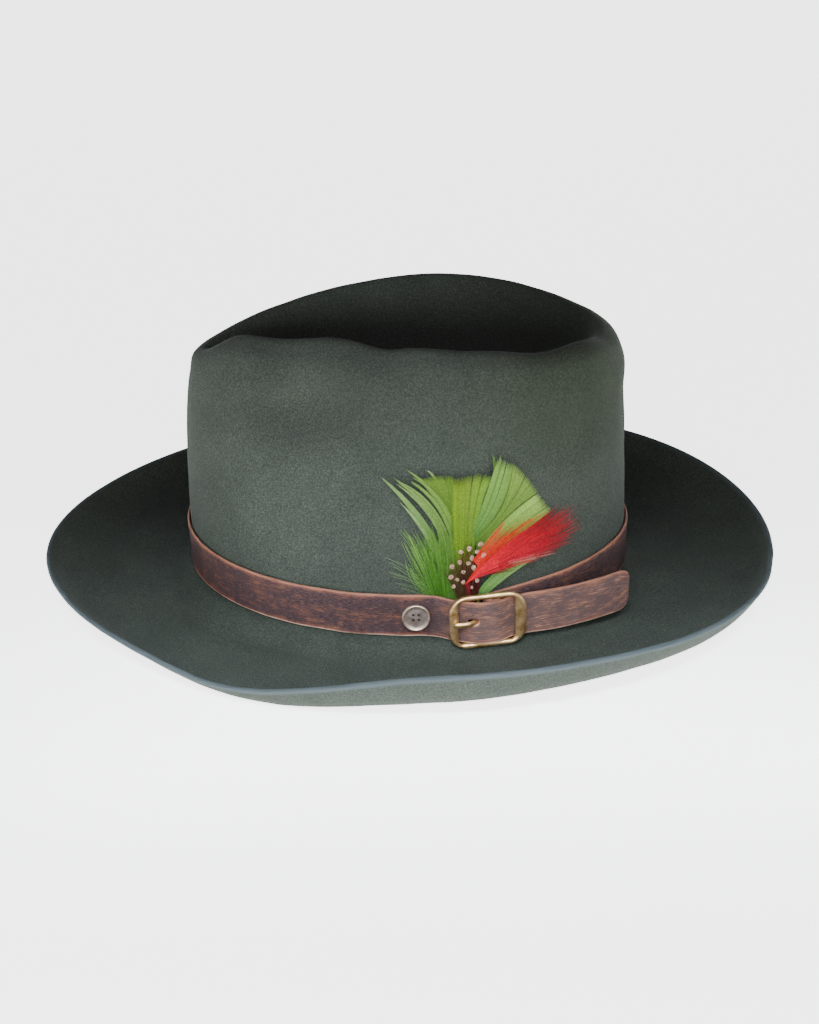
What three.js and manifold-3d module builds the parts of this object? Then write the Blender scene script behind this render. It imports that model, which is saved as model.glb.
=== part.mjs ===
// A felt hat: a creased crown and a curled brim in one piece of felt, a buckled leather band, and feathers.
// Millimetres. Z is up, -X is the front of the hat, and -Y is the wearer's left side, where the buckle sits.
// The origin is on the surface that the hat rests on, under the middle of the brim.

import * as THREE from "three";
import { mergeVertices } from "three/addons/utils/BufferGeometryUtils.js";
import Module from "manifold-3d";

const wasm = await Module();
wasm.setup();

// Driving dimensions

const FELT_WALL = 2.2;
const BREAK_HEIGHT = 12; // where crown and brim meet, above the surface that the hat rests on
const POINTS_AROUND = 56;

const BAND_WIDTH = 20.8;
const BAND_THICKNESS = 1.4;
const BAND_FOOT = -0.1; // lower edge of the band, from the break
const BAND_GAP = 0.45; // from the felt to the leather
const TAIL_CORNER = 5;

const BUCKLE_X = 36; // where the buckle's centre bar stands along the hat
const FRAME = { width: 36, height: 26.4, corner: 8.5, thickness: 2.4, drop: 3, shift: -1.6 };
const FRAME_RAIL = { left: 4.2, right: 5.2, top: 2.3, bottom: 2.3, innerCorner: 1.8 };
const FRAME_OFF = { left: 4.6, right: 7.6 }; // middle of the left and right rails, off the wall's tangent
const CENTRE_BAR = { width: 2, thickness: 2, off: 4.4 };
const PRONG = { radius: 1, eyeWall: 0.9, clearance: 0.3, width: 2.2, drop: 2.8 };
const PRONG_SLOT = 3.2;

const STUD = { x: 3.2, radius: 6.5, thickness: 1.8, rim: 1.1, dish: 0.7, hole: 0.65, holePitch: 2.5, rise: -0.3 };

// The felt is a stack of rings from the floor of the crease, over the crest, down the wall and out to the edge.
// front, back and side are the ring's reaches, and taper draws it in towards the front.
// Heights are from the break, at five stations from the front to the back.
// dip and lift are the ring's shares of the brim's dips and the crest's lifts.
// rows is the mesh rows to the next ring.

const LEVELS = table(
  [
    "name", "front", "back", "side", "taper",
    "atFront", "atFrontQuarter", "atSide", "atBackQuarter", "atBack", "dip", "lift", "rows",
  ],
  [
    ["crease floor", 44, 30, 5, 0.3, 91, 91, 91, 89, 87, 0, 0, 1],
    ["crease foot", 62, 47, 16, 0.4, 93, 94, 96, 92, 88, 0, 0, 1],
    ["crease wall", 77, 65, 28, 0.5, 98, 102, 108, 103, 98, 0, 0.4, 2],
    ["crest inside", 88, 81, 37.5, 0.53, 104, 113, 122, 116.2, 111, 0, 0.9, 1],
    ["crest", 95.5, 89.5, 42.5, 0.54, 106.5, 117.3, 126, 120.2, 117, 0, 1, 1],
    ["crest outside", 100.5, 96.5, 49, 0.43, 104, 114, 122, 117.2, 113.5, 0, 0.9, 1],
    ["shoulder", 102.7, 101.2, 59.5, 0.22, 95, 104, 109, 107, 104.5, 0, 0.5, 2],
    ["upper wall", 104.2, 101.4, 69, 0.08, 80, 86, 89, 89, 88, 0, 0.1, 2],
    ["middle wall", 105.3, 102.8, 77, 0.02, 56, 58, 60, 60, 60, 0, 0, 2],
    ["band head", 104.7, 104, 83.4, 0, 22, 22, 22, 22, 22, 0, 0, 2],
    ["band foot", 103.4, 104, 84.3, 0, 1, 1, 1, 1, 1, 0, 0, 2],
    ["break", 103.9, 104.6, 85.2, 0, -3.4, -3.4, -3.4, -3.4, -3.4, 0, 0, 1],
    ["root", 109, 109.6, 90.4, 0, -7.2, -7.8, -8, -7.4, -7.2, 0, 0, 2],
    ["inner brim", 128, 127, 107, 0.01, -7.5, -9, -9, -8, -9, 0.05, 0, 2],
    ["valley", 150, 149, 127.5, 0.035, -6, -8.5, -7.3, -5.5, -10.5, 0.2, 0, 2],
    ["curl", 165.5, 167, 139.5, 0.06, -2, -4, -0.8, 0.4, -5, 0.55, 0, 2],
    ["edge", 174, 174.4, 146.5, 0.08, 2.8, 3.6, 14, 11.5, 7.4, 1, 0, 0],
  ],
);
const STATIONS = ["atBack", "atBackQuarter", "atSide", "atFrontQuarter", "atFront"];

// The pinch is a shallow hollow in each side of the wall, towards the front.
const PINCH = { x: -48, height: 97, slope: 0.1, length: 26, width: 13, depth: 7 };

// The edge of the brim is snapped down at the front of the wearer's left side, and less on the right.
// The crest is a little uneven, as creasing by hand leaves it.
// Angles are round the hat from the back, by way of the right side. A negative height is the other way.
const BRIM_DIPS = table(
  ["angle", "spread", "height"],
  [
    [244.5, 17.5, 10.5],
    [72, 28, 6.5],
    [308, 20, -1.8],
    [346, 9, 1.8],
    [196, 14, -0.8],
    [143, 14, -0.9],
  ],
);
const CREST_LIFTS = table(
  ["angle", "spread", "height"],
  [
    [216, 14, 4.5],
    [250, 7, 1],
    [265, 7, -3],
    [300, 12, 1.5],
    [330, 15, 4],
    [36, 18, -2],
    [112, 22, -1.2],
  ],
);

// The strap's middle line, from the flap behind the buckle, round the crown and out to the tail.
// along is from the buckle's centre bar towards the back, off is from the felt, and drop lowers the leather.

const FOLD = table(
  ["along", "off", "drop"],
  [
    [4.5, 5.6, 2.7],
    [3, 6.1, 2.7],
    [0, 6.4, 2.7],
    [-1.8, 5.7, 2.7],
    [-2.5, 3.9, 2.6],
    [-1.8, 2.1, 2.4],
    [0, 1.4, 2.1],
    [7, 1.2, 1],
    [14, 1.15, 0.3],
    [20, 1.15, 0],
  ],
);
const OVERLAP = table(
  ["along", "off", "drop"],
  [
    [-44, 1.15, 0],
    [-36, 1.15, 0],
    [-31, 1.2, 0],
    [-26, 1.6, 0.3],
    [-23, 2.2, 0.6],
    [-20, 2.6, 1.4],
    [-17, 2.9, 2.3],
    [-13.5, 3.7, 2.9],
    [-9, 6, 2.9],
    [-5, 7.8, 2.8],
    [-1, 8.2, 2.8],
    [3, 8, 2.8],
    [6, 6.8, 2.8],
    [9, 5.5, 2.8],
    [12, 5, 2.8],
    [18, 5.4, 3],
    [27, 7, 3.1],
    [36, 8.9, 3.1],
    [46, 11.4, 3],
    [56, 14.4, 2.6],
    [64.5, 17.4, 2.2],
  ],
);
// The plain run of the strap climbs a little towards the back of the buckle's side.
const BACK_RISE = { along: 66, spread: 36, height: 1.5 };
const STRAP_STEP = 6; // between stations where the strap only follows the crown
const FINE_STEP = 2; // between stations where it bends

const LEATHER_FINISH = { color: "#5b3d36", roughness: 0.6, metalness: 0 };
const FELT_FINISH = { color: "#44504b", roughness: 0.95, metalness: 0 };
const BRASS_FINISH = { color: "#8c7a58", roughness: 0.4, metalness: 1 };
const FAN_FINISH = { color: "#8aa84a", roughness: 0.8, metalness: 0 };
const HACKLE_FINISH = { color: "#6ca03c", roughness: 0.85, metalness: 0 };
const SPOTTED_FINISH = { color: "#5a2a28", roughness: 0.8, metalness: 0 };
const RED_FINISH = { color: "#c8323c", roughness: 0.8, metalness: 0 };
const BUTTON_FINISH = { color: "#5a534c", roughness: 0.5, metalness: 0.8 };

function table(names, rows) {
  return rows.map((row) => Object.fromEntries(names.map((name, i) => [name, row[i]])));
}

function smoothStep(value, low, high) {
  return THREE.MathUtils.smoothstep(value, low, high);
}

function bump(distance, spread) {
  return Math.exp(-((distance / spread) ** 2));
}

// Closed bodies

function body(points, faces) {
  const volume = faces.reduce((sum, [a, b, c]) => sum + points[a].dot(points[b].clone().cross(points[c])), 0);
  const turned = volume > 0 ? faces : faces.map(([a, b, c]) => [a, c, b]);
  const geometry = new THREE.BufferGeometry();
  geometry.setAttribute("position", new THREE.Float32BufferAttribute(points.flatMap((p) => p.toArray()), 3));
  geometry.setIndex(turned.flat());
  geometry.computeVertexNormals();
  return geometry;
}

function quad(a, b, c, d) {
  return [
    [a, b, c],
    [a, c, d],
  ];
}

// A loft through rings of points. Its ends are joined to each other, or closed by flat caps.
function loft(rings, endsMeet = false) {
  const count = rings[0].length;
  const faces = [];
  for (let r = 0; r < (endsMeet ? rings.length : rings.length - 1); r += 1) {
    const here = r * count;
    const next = ((r + 1) % rings.length) * count;
    for (let i = 0; i < count; i += 1) {
      const j = (i + 1) % count;
      faces.push(...quad(here + i, here + j, next + j, next + i));
    }
  }
  if (!endsMeet) {
    const last = (rings.length - 1) * count;
    for (let i = 1; i < count - 1; i += 1) {
      faces.push([0, i + 1, i], [last, last + i, last + i + 1]);
    }
  }
  return body(rings.flat(), faces);
}

function solid(geometry) {
  const bare = geometry.clone();
  bare.deleteAttribute("normal");
  bare.deleteAttribute("uv");
  const merged = mergeVertices(bare);
  const vertProperties = new Float32Array(merged.attributes.position.array);
  const triVerts = new Uint32Array(merged.index.array);
  return new wasm.Manifold(new wasm.Mesh({ numProp: 3, vertProperties, triVerts }));
}

function geometryOf(manifold) {
  const mesh = manifold.getMesh();
  const geometry = new THREE.BufferGeometry();
  geometry.setAttribute("position", new THREE.Float32BufferAttribute(mesh.vertProperties, 3));
  geometry.setIndex(Array.from(mesh.triVerts));
  geometry.computeVertexNormals();
  return geometry;
}

// The felt surface

function heightAround(level, angle) {
  const last = STATIONS.length - 1;
  const share = (k) => (k === 0 || k === last ? 0.5 : 1);
  let height = 0;
  for (let wave = 0; wave <= last; wave += 1) {
    let weight = 0;
    STATIONS.forEach((name, k) => {
      weight += (2 / last) * share(k) * level[name] * Math.cos((Math.PI * wave * k) / last);
    });
    height += share(wave) * weight * Math.cos(wave * angle);
  }
  return height;
}

function ringPoint(level, angle) {
  const reach = (level.front + level.back) / 2;
  const x = (level.back - level.front) / 2 + reach * Math.cos(angle);
  const y = level.side * Math.sin(angle) * (1 + level.taper * Math.cos(angle));
  return new THREE.Vector3(x, y, heightAround(level, angle));
}

// One line from the crease floor to the brim's edge, with a smooth slope at each ring.
function meridian(angle) {
  const points = LEVELS.map((level) => ringPoint(level, angle));
  const chords = points.slice(1).map((point, i) => point.distanceTo(points[i]));
  const steps = chords.map((chord, i) => points[i + 1].clone().sub(points[i]).divideScalar(chord));
  const slopes = points.map((_, i) => {
    if (i === 0) return steps[0];
    if (i === steps.length) return steps[i - 1];
    const before = steps[i - 1].clone().multiplyScalar(chords[i]);
    const after = steps[i].clone().multiplyScalar(chords[i - 1]);
    return before.add(after).divideScalar(chords[i - 1] + chords[i]);
  });
  return { points, chords, slopes };
}

function levelNumber(name) {
  return LEVELS.findIndex((level) => level.name === name);
}

// What a table of places round the hat adds to the height between rings i and i + 1.
function rise(places, column, angle, i, t) {
  const share = THREE.MathUtils.lerp(LEVELS[i][column], LEVELS[i + 1][column], smoothStep(t, 0, 1));
  const heights = places.map((place) => {
    const away = THREE.MathUtils.euclideanModulo(THREE.MathUtils.radToDeg(angle) - place.angle + 180, 360) - 180;
    return place.height * bump(away, place.spread);
  });
  return share * heights.reduce((sum, height) => sum + height, 0);
}

function feltPoint(angle, level) {
  const { points, chords, slopes } = meridian(angle);
  const i = Math.min(Math.floor(level), LEVELS.length - 2);
  const t = level - i;
  const point = points[i].clone().multiplyScalar(2 * t ** 3 - 3 * t ** 2 + 1);
  point.addScaledVector(slopes[i], (t ** 3 - 2 * t ** 2 + t) * chords[i]);
  point.addScaledVector(points[i + 1], 3 * t ** 2 - 2 * t ** 3);
  point.addScaledVector(slopes[i + 1], (t ** 3 - t ** 2) * chords[i]);

  const ridge = PINCH.height + PINCH.slope * (point.x - PINCH.x);
  const pinch = bump(point.x - PINCH.x, PINCH.length) * bump(point.z - ridge, PINCH.width);
  const onWall = smoothStep(level, levelNumber("crest"), levelNumber("shoulder"));
  const towardsMiddle = Math.sign(point.y) * Math.min(Math.abs(point.y) / 20, 1);
  point.y -= PINCH.depth * pinch * onWall * towardsMiddle;

  point.z -= rise(BRIM_DIPS, "dip", angle, i, t);
  point.z += rise(CREST_LIFTS, "lift", angle, i, t);
  point.z += BREAK_HEIGHT;
  point.z = Math.max(point.z, FELT_WALL);
  return point;
}

function feltNormal(angle, level) {
  const nudge = 0.01;
  const last = LEVELS.length - 1;
  const across = feltPoint(angle + nudge, level).sub(feltPoint(angle - nudge, level));
  const along = feltPoint(angle, Math.min(level + nudge, last)).sub(feltPoint(angle, Math.max(level - nudge, 0)));
  return along.cross(across).normalize();
}

// Outside and inside surfaces, joined at the cut edge of the brim and closed along the floor of the crease.
function feltGeometry() {
  const levels = LEVELS.flatMap(({ rows }, i) => Array.from({ length: rows }, (_, k) => i + k / rows));
  levels.push(LEVELS.length - 1);
  const angles = Array.from({ length: POINTS_AROUND }, (_, i) => (2 * Math.PI * i) / POINTS_AROUND);
  const outside = levels.map((level) => angles.map((angle) => feltPoint(angle, level)));
  const inside = levels.map((level, r) =>
    angles.map((angle, i) => {
      const point = outside[r][i].clone().addScaledVector(feltNormal(angle, level), -FELT_WALL);
      point.z = Math.max(point.z, 0);
      return point;
    }),
  );

  const rings = [...outside, ...inside.reverse()];
  const faces = [];
  for (let r = 0; r < rings.length - 1; r += 1) {
    for (let i = 0; i < POINTS_AROUND; i += 1) {
      const here = r * POINTS_AROUND;
      const j = (i + 1) % POINTS_AROUND;
      faces.push(...quad(here + i, here + j, here + POINTS_AROUND + j, here + POINTS_AROUND + i));
    }
  }
  const strip = (start, flip) => {
    for (let i = 0; i < POINTS_AROUND / 2; i += 1) {
      const near = (k) => start + ((POINTS_AROUND - k) % POINTS_AROUND);
      const corners = [start + i, near(i), near(i + 1), start + i + 1];
      const used = [...new Set(corners)];
      for (let k = 1; k < used.length - 1; k += 1) {
        faces.push(flip ? [used[0], used[k + 1], used[k]] : [used[0], used[k], used[k + 1]]);
      }
    }
  };
  strip(0, false);
  strip((rings.length - 1) * POINTS_AROUND, true);
  return body(rings.flat(), faces);
}

// Places on the crown's wall

// The point of the wall at a height above the break, found by halving the span between two rings.
function wallPoint(angle, height) {
  let above = levelNumber("crest outside");
  let below = levelNumber("root");
  for (let i = 0; i < 24; i += 1) {
    const middle = (above + below) / 2;
    if (feltPoint(angle, middle).z > BREAK_HEIGHT + height) above = middle;
    else below = middle;
  }
  return feltPoint(angle, above);
}

const BAND_MIDDLE = BAND_FOOT + BAND_WIDTH / 2;
const START_ANGLE = nearSideAngle(BUCKLE_X);
const WALK = walkRound();

function nearSideAngle(x) {
  const { front, back } = LEVELS[levelNumber("band head")];
  return 2 * Math.PI - Math.acos((x - (back - front) / 2) / ((front + back) / 2));
}

// Distance walked round the crown at the middle of the band, for angles from the centre bar.
function walkRound() {
  const steps = 360;
  const walk = [{ angle: START_ANGLE, along: 0 }];
  let previous = wallPoint(START_ANGLE, BAND_MIDDLE);
  for (let i = 1; i <= steps; i += 1) {
    const angle = START_ANGLE + (2 * Math.PI * i) / steps;
    const point = wallPoint(angle, BAND_MIDDLE);
    walk.push({ angle, along: walk[i - 1].along + point.distanceTo(previous) });
    previous = point;
  }
  return walk;
}

function roundLength() {
  return WALK[WALK.length - 1].along;
}

function wallAngle(along) {
  const turns = Math.floor(along / roundLength());
  const rest = along - turns * roundLength();
  const i = Math.max(1, WALK.findIndex((step) => step.along >= rest));
  const part = (rest - WALK[i - 1].along) / (WALK[i].along - WALK[i - 1].along);
  return WALK[i - 1].angle + part * (WALK[i].angle - WALK[i - 1].angle) + turns * 2 * Math.PI;
}

function wallOut(along) {
  const nudge = 0.02;
  const angle = wallAngle(along);
  const ahead = wallPoint(angle + nudge, BAND_MIDDLE).sub(wallPoint(angle - nudge, BAND_MIDDLE));
  return new THREE.Vector3(ahead.y, -ahead.x, 0).normalize();
}

function onWall(along, height, off) {
  return wallPoint(wallAngle(along), height).addScaledVector(wallOut(along), off);
}

// A group whose X runs along the wall, whose Z runs up it and whose -Y faces out of it.
function wallGroup(along, height) {
  const group = new THREE.Group();
  const up = onWall(along, BAND_FOOT + BAND_WIDTH, 0).sub(onWall(along, BAND_FOOT, 0)).normalize();
  const inward = wallOut(along).negate();
  const right = inward.clone().cross(up).normalize();
  group.quaternion.setFromRotationMatrix(new THREE.Matrix4().makeBasis(right, up.clone().cross(right), up));
  group.position.copy(onWall(along, height, 0));
  return group;
}

// Leather band

function strapRoute() {
  const lap = roundLength();
  const plain = [];
  const from = FOLD[FOLD.length - 1].along + STRAP_STEP;
  const to = lap + OVERLAP[0].along - STRAP_STEP;
  const count = Math.round((to - from) / STRAP_STEP);
  for (let i = 0; i <= count; i += 1) {
    const along = from + ((to - from) * i) / count;
    const drop = -BACK_RISE.height * bump(along - BACK_RISE.along, BACK_RISE.spread);
    plain.push(new THREE.Vector3(along, BAND_GAP + BAND_THICKNESS / 2, drop));
  }
  const overlap = OVERLAP.map((row) => ({ ...row, along: row.along + lap }));
  const bends = (rows) => new THREE.CatmullRomCurve3(rows.map((row) => new THREE.Vector3(row.along, row.off, row.drop)));
  const fine = (rows) => {
    const curve = bends(rows);
    return curve.getSpacedPoints(Math.round(curve.getLength() / FINE_STEP));
  };
  return [...fine(FOLD), ...plain, ...fine(overlap)];
}

function strapGeometry() {
  const route = strapRoute();
  const end = route[route.length - 1].x;
  const half = BAND_THICKNESS / 2;
  const rings = route.map((here, i) => {
    const before = route[Math.max(i - 1, 0)];
    const after = route[Math.min(i + 1, route.length - 1)];
    const ahead = new THREE.Vector2(after.x - before.x, after.y - before.y).normalize();
    const intoCorner = Math.max(0, here.x - (end - TAIL_CORNER));
    const cut = TAIL_CORNER - Math.sqrt(TAIL_CORNER ** 2 - intoCorner ** 2) * 0.999;
    const foot = BAND_FOOT + (intoCorner > 0 ? cut : 0);
    const head = BAND_FOOT + BAND_WIDTH - (intoCorner > 0 ? cut : 0);
    const corner = (side, height) => {
      const along = here.x - side * half * ahead.y;
      const off = here.y + side * half * ahead.x;
      const point = onWall(along, height, off);
      point.z -= here.z;
      return point;
    };
    return [corner(-1, foot), corner(1, foot), corner(1, head), corner(-1, head)];
  });
  return loft(rings);
}

function wallBox(along, height, off, length, rise, depth) {
  const group = wallGroup(along, height);
  const box = new THREE.BoxGeometry(length, depth, rise);
  box.translate(0, -off, 0);
  group.updateMatrix();
  return solid(box.applyMatrix4(group.matrix));
}

function bandGeometry() {
  const height = BAND_MIDDLE - PRONG.drop;
  const eyeSlot = wallBox(-0.2, height, 3.6, 7.6, PRONG_SLOT, 6.6);
  const hole = wallBox(-8.3, height, 6.4, 5.6, PRONG.radius * 2 + 1, 3.8);
  return geometryOf(solid(strapGeometry()).subtract(eyeSlot).subtract(hole));
}

// Buckle, in the frame of a wall group at its centre bar

function roundedRectangle(left, right, bottom, top, corner, steps) {
  const centres = [
    [right - corner, bottom + corner, -0.5],
    [right - corner, top - corner, 0],
    [left + corner, top - corner, 0.5],
    [left + corner, bottom + corner, 1],
  ];
  return centres.flatMap(([x, z, turn]) =>
    Array.from({ length: steps + 1 }, (_, i) => {
      const angle = (turn + (0.5 * i) / steps) * Math.PI;
      return new THREE.Vector2(x + corner * Math.cos(angle), z + corner * Math.sin(angle));
    }),
  );
}

function frameGeometry() {
  const { width, height, corner, thickness, drop, shift } = FRAME;
  const { left, right, top, bottom, innerCorner } = FRAME_RAIL;
  const outline = roundedRectangle(-width / 2, width / 2, -height / 2, height / 2, corner, 6);
  const window = roundedRectangle(
    -width / 2 + left, width / 2 - right, -height / 2 + bottom, height / 2 - top, innerCorner, 6,
  );
  // Across the rail: a flat back, rounded edges and a domed face.
  const section = table(
    ["across", "out"],
    [
      [0.08, -0.5],
      [0, 0],
      [0.25, 0.38],
      [0.5, 0.5],
      [0.75, 0.38],
      [1, 0],
      [0.92, -0.5],
    ],
  );
  const rings = outline.map((edge, i) =>
    section.map(({ across, out }) => {
      const flat = window[i].clone().lerp(edge, across);
      const middle = THREE.MathUtils.mapLinear(flat.x, -width / 2, width / 2, FRAME_OFF.left, FRAME_OFF.right);
      return new THREE.Vector3(flat.x + shift, -middle - out * thickness, flat.y - drop);
    }),
  );
  const bar = new THREE.BoxGeometry(CENTRE_BAR.width, CENTRE_BAR.thickness, height - (top + bottom) / 2);
  bar.translate(0, -CENTRE_BAR.off, -drop);
  return geometryOf(solid(loft(rings, true)).add(solid(bar)));
}

function prongGeometry() {
  const { radius, eyeWall, clearance, width, drop } = PRONG;
  const inX = CENTRE_BAR.width / 2 + clearance;
  const inY = CENTRE_BAR.thickness / 2 + clearance;
  const eye = new THREE.Shape(
    roundedRectangle(-inX - eyeWall, inX + eyeWall, -inY - eyeWall, inY + eyeWall, eyeWall, 3),
  );
  eye.holes.push(new THREE.Path(roundedRectangle(-inX, inX, -inY, inY, clearance, 1)));
  const ring = new THREE.ExtrudeGeometry(eye, { depth: width, bevelEnabled: false });
  ring.translate(0, -CENTRE_BAR.off, -width / 2);

  // The shank leaves the eye, comes up through the leather and lies on the left rail.
  const shank = table(
    ["along", "off"],
    [
      [-1.2, 5.3],
      [-4.5, 5.3],
      [-7, 5.7],
      [-9, 7],
      [-11, 7.9],
      [-14, 8],
      [-18, 7.1],
    ],
  );
  const curve = new THREE.CatmullRomCurve3(shank.map(({ along, off }) => new THREE.Vector3(along, -off, 0)));
  const sides = 8;
  const steps = 14;
  const rings = Array.from({ length: steps + 1 }, (_, i) => {
    const centre = curve.getPointAt(i / steps);
    const ahead = curve.getTangentAt(i / steps);
    const across = new THREE.Vector3(-ahead.y, ahead.x, 0);
    const size = radius * (i === steps ? 0.6 : 1);
    return Array.from({ length: sides }, (_, k) => {
      const turn = (2 * Math.PI * k) / sides;
      const point = centre.clone().addScaledVector(across, size * Math.cos(turn));
      point.z += size * Math.sin(turn);
      return point;
    });
  });
  const whole = solid(ring).add(solid(loft(rings)));
  return geometryOf(whole).translate(0, 0, -drop);
}

// Stud: a four-hole button with a raised rim, turned about its own axis, which faces out of the wall

function studGeometry() {
  const { radius, thickness, rim, dish, hole, holePitch } = STUD;
  const profile = [
    [0, 0],
    [radius - 0.6, 0],
    [radius, 0.7],
    [radius - 0.15, thickness - 0.35],
    [radius - rim / 2, thickness],
    [radius - rim, thickness - 0.35],
    [radius - rim - 0.5, dish],
    [0, dish + 0.2],
  ].map(([across, out]) => new THREE.Vector2(across, out));
  const disc = new THREE.LatheGeometry(profile, 24);
  let button = solid(disc);
  for (const x of [-1, 1]) {
    for (const z of [-1, 1]) {
      const drill = new THREE.CylinderGeometry(hole, hole, 4, 6);
      drill.translate((x * holePitch) / 2, 0, (z * holePitch) / 2);
      button = button.subtract(solid(drill));
    }
  }
  return geometryOf(button).rotateX(Math.PI);
}

// Feathers
// Each feather is a few curved locks laid over the wall and fused where they meet behind the strap.
// The middle of a lock runs through three places, each along the wall and up it. widths are at those places.
// off is the lock's distance from the wall at its root, its middle and its tip.

const FEATHER_STEPS = 6;
const FEATHER_THICKNESS = 0.7;

const FEATHER_COLUMNS = [
  "rootAlong", "rootUp", "midAlong", "midUp", "tipAlong", "tipUp",
  "rootWidth", "midWidth", "tipWidth", "rootOff", "midOff", "tipOff",
];

// Blades with cut tops in the middle, narrow barbs to the front, a fan to the back and one low leaf.
const FAN_LOCKS = table(FEATHER_COLUMNS, [
  [-13, 13, -31, 55, -46.3, 75.5, 3, 3.6, 0.8, 1.1, 1.7, 3.4],
  [-12.5, 13, -26, 57, -42.4, 76.4, 3, 4, 0.8, 1.1, 2.1, 3.6],
  [-12, 13, -21, 60, -37, 79.5, 3, 4.6, 1, 1.1, 1.6, 3.4],
  [-11.5, 13, -17, 48, -23.5, 76.5, 3.5, 9, 15, 1.1, 1.8, 2.8],
  [-10, 13, -11, 46, -12, 75.5, 4, 6.6, 7.4, 1.1, 2.2, 3.2],
  [-9, 13, -7.5, 46, -2.8, 76.5, 3, 7, 11, 1.1, 1.7, 2.6],
  [-8, 13, -4, 46, 6.8, 82, 3, 6, 8.4, 1.1, 2.2, 3.6],
  [-7.5, 13, -0.5, 44, 15.5, 76.5, 3, 7, 10, 1.1, 1.9, 3.2],
  [-7, 13, 2, 42, 23, 68, 3, 7, 9.5, 1.1, 2.3, 3.4],
  [-6.5, 13, 4, 38, 29.5, 58.5, 3, 6, 8.5, 1.1, 1.9, 3],
  [-6.5, 13, 2, 26.5, 26.5, 32, 3, 3.2, 0.8, 1.1, 1.5, 2.2],
]);

const HACKLE_LOCKS = table(FEATHER_COLUMNS, [
  [-19.6, 13, -29.3, 38, -39.6, 57.5, 2.4, 4, 0.9, 0.8, 3.5, 5.4],
  [-19.4, 13, -27, 38, -33.5, 61, 2.4, 4.6, 0.9, 0.8, 3.3, 5.2],
  [-19.2, 13, -23.7, 38, -27, 60, 2.4, 5, 0.9, 0.8, 3.5, 5.2],
  [-19, 13, -21, 36, -21, 56, 2.4, 4.2, 0.9, 0.8, 3.3, 4.9],
  [-18.8, 13, -19.5, 32, -18, 48, 2, 3, 0.9, 0.8, 2.6, 4.6],
  [-22, 22.5, -29, 27.5, -38, 33, 2, 2.4, 0.9, 1.3, 2, 2.8],
]);

const SPOTTED_LOCKS = table(FEATHER_COLUMNS, [
  [-10, 13, -14, 27, -17.5, 34, 3, 6, 3, 2.1, 3.2, 4.4],
  [-9.5, 13, -11.5, 31, -13, 43.5, 3.5, 7.6, 4, 2.1, 3.4, 4.2],
  [-8.5, 13, -6.5, 31, -5.5, 44.5, 3.5, 8, 4, 2.1, 3.2, 4],
  [-8, 13, -4, 25, -1, 30, 3, 5.5, 3, 2.1, 2.9, 3.5],
]);

const RED_LOCKS = table(FEATHER_COLUMNS, [
  [-8, 13, -8.6, 21.5, -12, 26.5, 2.6, 3, 2.6, 3.3, 3.4, 5],
  [-12, 26, 9, 44.8, 37.5, 54, 2.4, 5.4, 2.2, 5, 5, 6.4],
  [-12, 25.6, 10.5, 40.5, 47, 49.6, 2.6, 6, 2.8, 5, 5.3, 6.6],
  [-12, 25.2, 10.5, 36.6, 43.5, 41, 2.4, 5.2, 2, 5, 5, 6.2],
  [-11.5, 25, 9, 32.8, 34.5, 34.6, 2, 2.6, 0.9, 5, 4.6, 5.4],
]);

function lockGeometry(lock) {
  const half = FEATHER_THICKNESS / 2;
  const through = (t, root, mid, tip) => root * (1 - t) * (1 - 2 * t) + mid * 4 * t * (1 - t) + tip * t * (2 * t - 1);
  const place = (t) => [
    through(t, lock.rootAlong, lock.midAlong, lock.tipAlong),
    through(t, lock.rootUp, lock.midUp, lock.tipUp),
  ];
  const rings = Array.from({ length: FEATHER_STEPS + 1 }, (_, i) => {
    const t = i / FEATHER_STEPS;
    const [along, up] = place(t);
    const [nextAlong, nextUp] = place(t + 0.01);
    const ahead = new THREE.Vector2(nextAlong - along, nextUp - up).normalize();
    const reach = through(t, lock.rootWidth, lock.midWidth, lock.tipWidth) / 2;
    const off = t < 0.5
      ? lock.rootOff + (lock.midOff - lock.rootOff) * (2 * t) ** 2
      : lock.midOff + (lock.tipOff - lock.midOff) * (2 * t - 1);
    const edge = (side) => onWall(along - side * reach * ahead.y, up + side * reach * ahead.x, off);
    return [edge(-1), onWall(along, up, off + half), edge(1), onWall(along, up, off - half)];
  });
  return loft(rings);
}

function featherGeometry(locks) {
  return geometryOf(locks.map((lock) => solid(lockGeometry(lock))).reduce((whole, lock) => whole.add(lock)));
}

// The hat

function piece(name, geometry, finish, parent) {
  const mesh = new THREE.Mesh(geometry, new THREE.MeshStandardMaterial(finish));
  mesh.name = name;
  parent.add(mesh);
  return mesh;
}

const hat = new THREE.Group();
piece("hat_body", feltGeometry(), FELT_FINISH, hat);
piece("hat_band", bandGeometry(), LEATHER_FINISH, hat);

const buckle = wallGroup(0, BAND_MIDDLE);
piece("buckle_frame", frameGeometry(), BRASS_FINISH, buckle);
piece("buckle_prong", prongGeometry(), BRASS_FINISH, buckle);
hat.add(buckle);

const studAlong = WALK.find((step) => wallPoint(step.angle, BAND_MIDDLE).y < 0
  && step.along > roundLength() / 2
  && wallPoint(step.angle, BAND_MIDDLE).x > STUD.x).along;
const stud = wallGroup(studAlong, BAND_MIDDLE + STUD.rise);
const button = piece("band_stud", studGeometry(), BUTTON_FINISH, stud);
button.position.y = -(BAND_GAP + BAND_THICKNESS + 1);
hat.add(stud);

piece("feather_fan", featherGeometry(FAN_LOCKS), FAN_FINISH, hat);
piece("feather_hackle", featherGeometry(HACKLE_LOCKS), HACKLE_FINISH, hat);
piece("feather_spotted", featherGeometry(SPOTTED_LOCKS), SPOTTED_FINISH, hat);
piece("feather_red", featherGeometry(RED_LOCKS), RED_FINISH, hat);

export default hat;
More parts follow.
